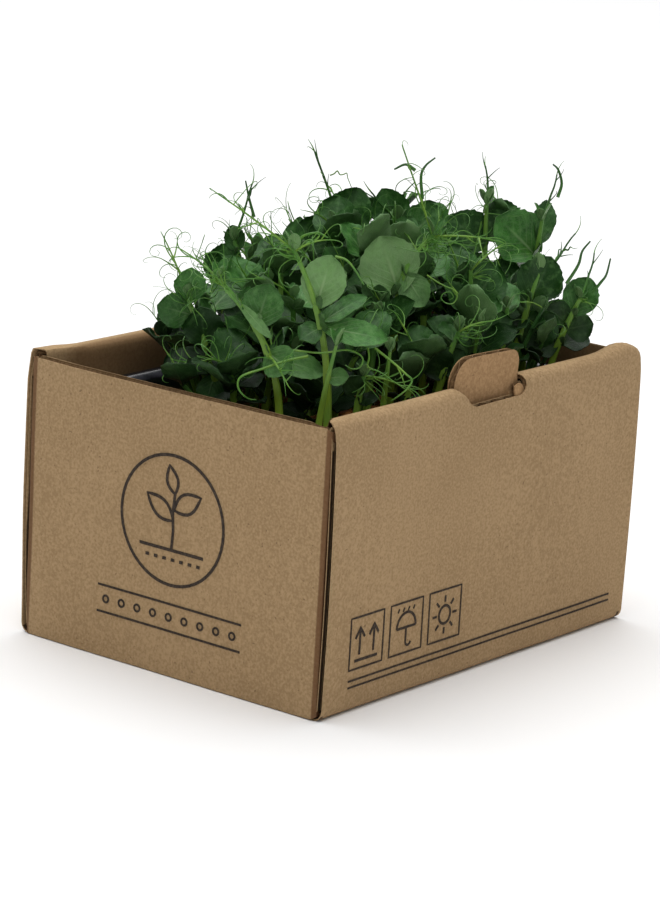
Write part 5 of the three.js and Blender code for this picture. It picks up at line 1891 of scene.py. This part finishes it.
bpy.ops.object.select_all(action="DESELECT")
bpy.ops.mesh.primitive_grid_add(x_subdivisions=150, y_subdivisions=92, size=2)
mat = bpy.context.object
mat.name = "coir_growing_mat"
for vertex in mat.data.vertices:
    x, y = rounded(vertex.co.x * MAT_HALF[0], vertex.co.y * MAT_HALF[1])
    vertex.co = (x * MM, y * MM, mat_height(x, y) * MM)
start_edit(mat)
bpy.ops.mesh.region_to_loop()
for drop in MAT_DROPS:
    bpy.ops.mesh.extrude_edges_move(TRANSFORM_OT_translate={"value": (0, 0, -drop)})
    bpy.ops.transform.resize(value=(0.985, 0.98, 1), center_override=(0, 0, 0))
bpy.ops.mesh.edge_face_add()
end_edit()
mat.data.materials.append(coir.material)
hang(mat, "growing_mat", "growing_mat", angle=70)

# %% [markdown]
# ## Peas and roots on the mat
# A sown pea is a sphere primitive, dimpled and wrinkled by noise in its own coordinates. It is
# modelled once for each of a few shapes and copied. Roots and coir fibres are short threads that
# creep over the mat.

# %% Pea shapes
PEA_RADIUS = 3.7
PEA_SHAPES = 4
PEAS_TRIED = 420
PEA_FROM_STEM, CLEAR_OF_STEM, CLEAR_OF_PEA = 4.4, 3.9, 6.2
PEA_REACH = (76, 46)


def shrivelled(number):
    bpy.ops.object.select_all(action="DESELECT")
    bpy.ops.mesh.primitive_ico_sphere_add(subdivisions=3, radius=1)
    pea = bpy.context.object
    for vertex in pea.data.vertices:
        place = vertex.co * 1.3 + Vector((number * 9, 0, 0))
        wrinkle = 0.13 * noise.noise(place * 1.6) - 0.1 * abs(noise.noise(place * 3.2))
        seam = -0.16 * math.exp(-((vertex.co.x / 0.09) ** 2))
        vertex.co = vertex.co * (1 + wrinkle + seam)
    return points_and_faces(pea)


pea_forms = [shrivelled(number) for number in range(PEA_SHAPES)]
print(len(pea_forms), "pea shapes of", len(pea_forms[0][1]), "faces")

# %% Sown peas
pea_points, pea_faces = [], []
rooted = [shoot["root"] for shoot in shoots + young]
placed_peas = []
for tried in range(PEAS_TRIED):
    if tried < len(rooted):
        angle = draw(0, 2 * math.pi)
        x = rooted[tried][0] + PEA_FROM_STEM * math.cos(angle)
        y = rooted[tried][1] + PEA_FROM_STEM * math.sin(angle)
    else:
        x, y = (draw(-reach, reach) for reach in PEA_REACH)
    near_stem = any(math.hypot(x - r[0], y - r[1]) < CLEAR_OF_STEM for r in rooted)
    near_pea = any(math.hypot(x - p[0], y - p[1]) < CLEAR_OF_PEA for p in placed_peas)
    if near_stem or near_pea or abs(x) > PEA_REACH[0] or abs(y) > PEA_REACH[1]:
        continue
    placed_peas.append((x, y))
    points, faces = pea_forms[tried % PEA_SHAPES]
    spin = Matrix.Rotation(draw(0, 6.28), 3, "Z") @ Matrix.Rotation(draw(-1.2, 1.2), 3, "X")
    size = PEA_RADIUS * draw(0.82, 1.05)
    centre = np.array((x, y, mat_height(x, y) + 0.35 * size))
    offset = sum(len(block) for block in pea_points)
    pea_faces += [tuple(corner + offset for corner in face) for face in faces]
    pea_points.append(points @ np.array(spin).T * size * (1, 1, 0.88) + centre)
peas = new_piece("sown_peas", np.concatenate(pea_points) * MM, pea_faces)
peas.data.materials.append(pea_skin.material)
hang(peas, "growing_mat", angle=80)
print(len(placed_peas), "peas")

# %% Roots and fibres
FIBRES, FIBRE_STEPS = 900, 6
fibres = Growth()
for number in range(FIBRES):
    x, y = draw(-74, 74), draw(-44, 44)
    heading = draw(0, 360)
    length = draw(6, 20)
    points = []
    for step in range(FIBRE_STEPS):
        heading += draw(-28, 28)
        x += length / FIBRE_STEPS * math.cos(math.radians(heading))
        y += length / FIBRE_STEPS * math.sin(math.radians(heading))
        x, y = within(x, 77), within(y, 47)
        points.append((x, y, mat_height(x, y) + draw(-0.15, 0.9)))
    tube(fibres, points, np.linspace(0.22, 0.1, FIBRE_STEPS), 3, np.linspace(0, 1, FIBRE_STEPS))
roots = fibres.piece("mat_roots")
roots.data.materials.clear()
roots.data.materials.append(root_skin.material)
roots.data.polygons.foreach_set("material_index", [0] * len(roots.data.polygons))
hang(roots, "growing_mat")

# %% [markdown]
# ## Floor and light
# The carton stands on a pale sheet of studio paper, which lies a hair lower, so that the two faces
# don't meet in one plane. A very large soft box far above gives even light from all round. A small
# key light above the camera lights both walls in front, and a weak one far to the right opens up
# the shade.

# %% Floor and lights
FLOOR_SIZE, FLOOR_GAP = 14, 0.05 * MM
AIR_GLOW = 0.07
bpy.ops.mesh.primitive_plane_add(size=FLOOR_SIZE, location=(0, 0, -FLOOR_GAP))
floor = bpy.context.object
floor.name = "studio_floor"
studio_paper = Finish("studio_paper", roughness=0.9, specular=0.1)
studio_paper.give("Base Color", (0.985, 0.985, 0.985, 1))
floor.data.materials.append(studio_paper.material)
# name, power in watts, size and place in metres
LIGHTS = [
    ("key_soft_box", 3.7, 0.8, (-0.72, -1.05, 1.0)),
    ("top_soft_box", 195, 5.0, (0.3, 0.6, 3.2)),
    ("side_soft_box", 0.8, 1.2, (1.9, -1.1, 0.9)),
]
LIT_POINT = Vector((0, 0, 0.09))
for name, power, size, place in LIGHTS:
    lamp_data = bpy.data.lights.new(name, "AREA")
    lamp_data.energy = power
    lamp_data.size = size
    lamp = bpy.data.objects.new(name, lamp_data)
    lamp.location = place
    lamp.rotation_mode = "QUATERNION"
    lamp.rotation_quaternion = (LIT_POINT - lamp.location).to_track_quat("-Z", "Y")
    bpy.context.scene.collection.objects.link(lamp)
world = bpy.data.worlds.new("studio_air")
world.use_nodes = True
air = world.node_tree.nodes["Background"].inputs
air["Color"].default_value = (1, 1, 1, 1)
air["Strength"].default_value = AIR_GLOW
bpy.context.scene.world = world
bpy.context.scene.view_settings.view_transform = "Standard"
print("lights:", [name for name, power, size, place in LIGHTS])
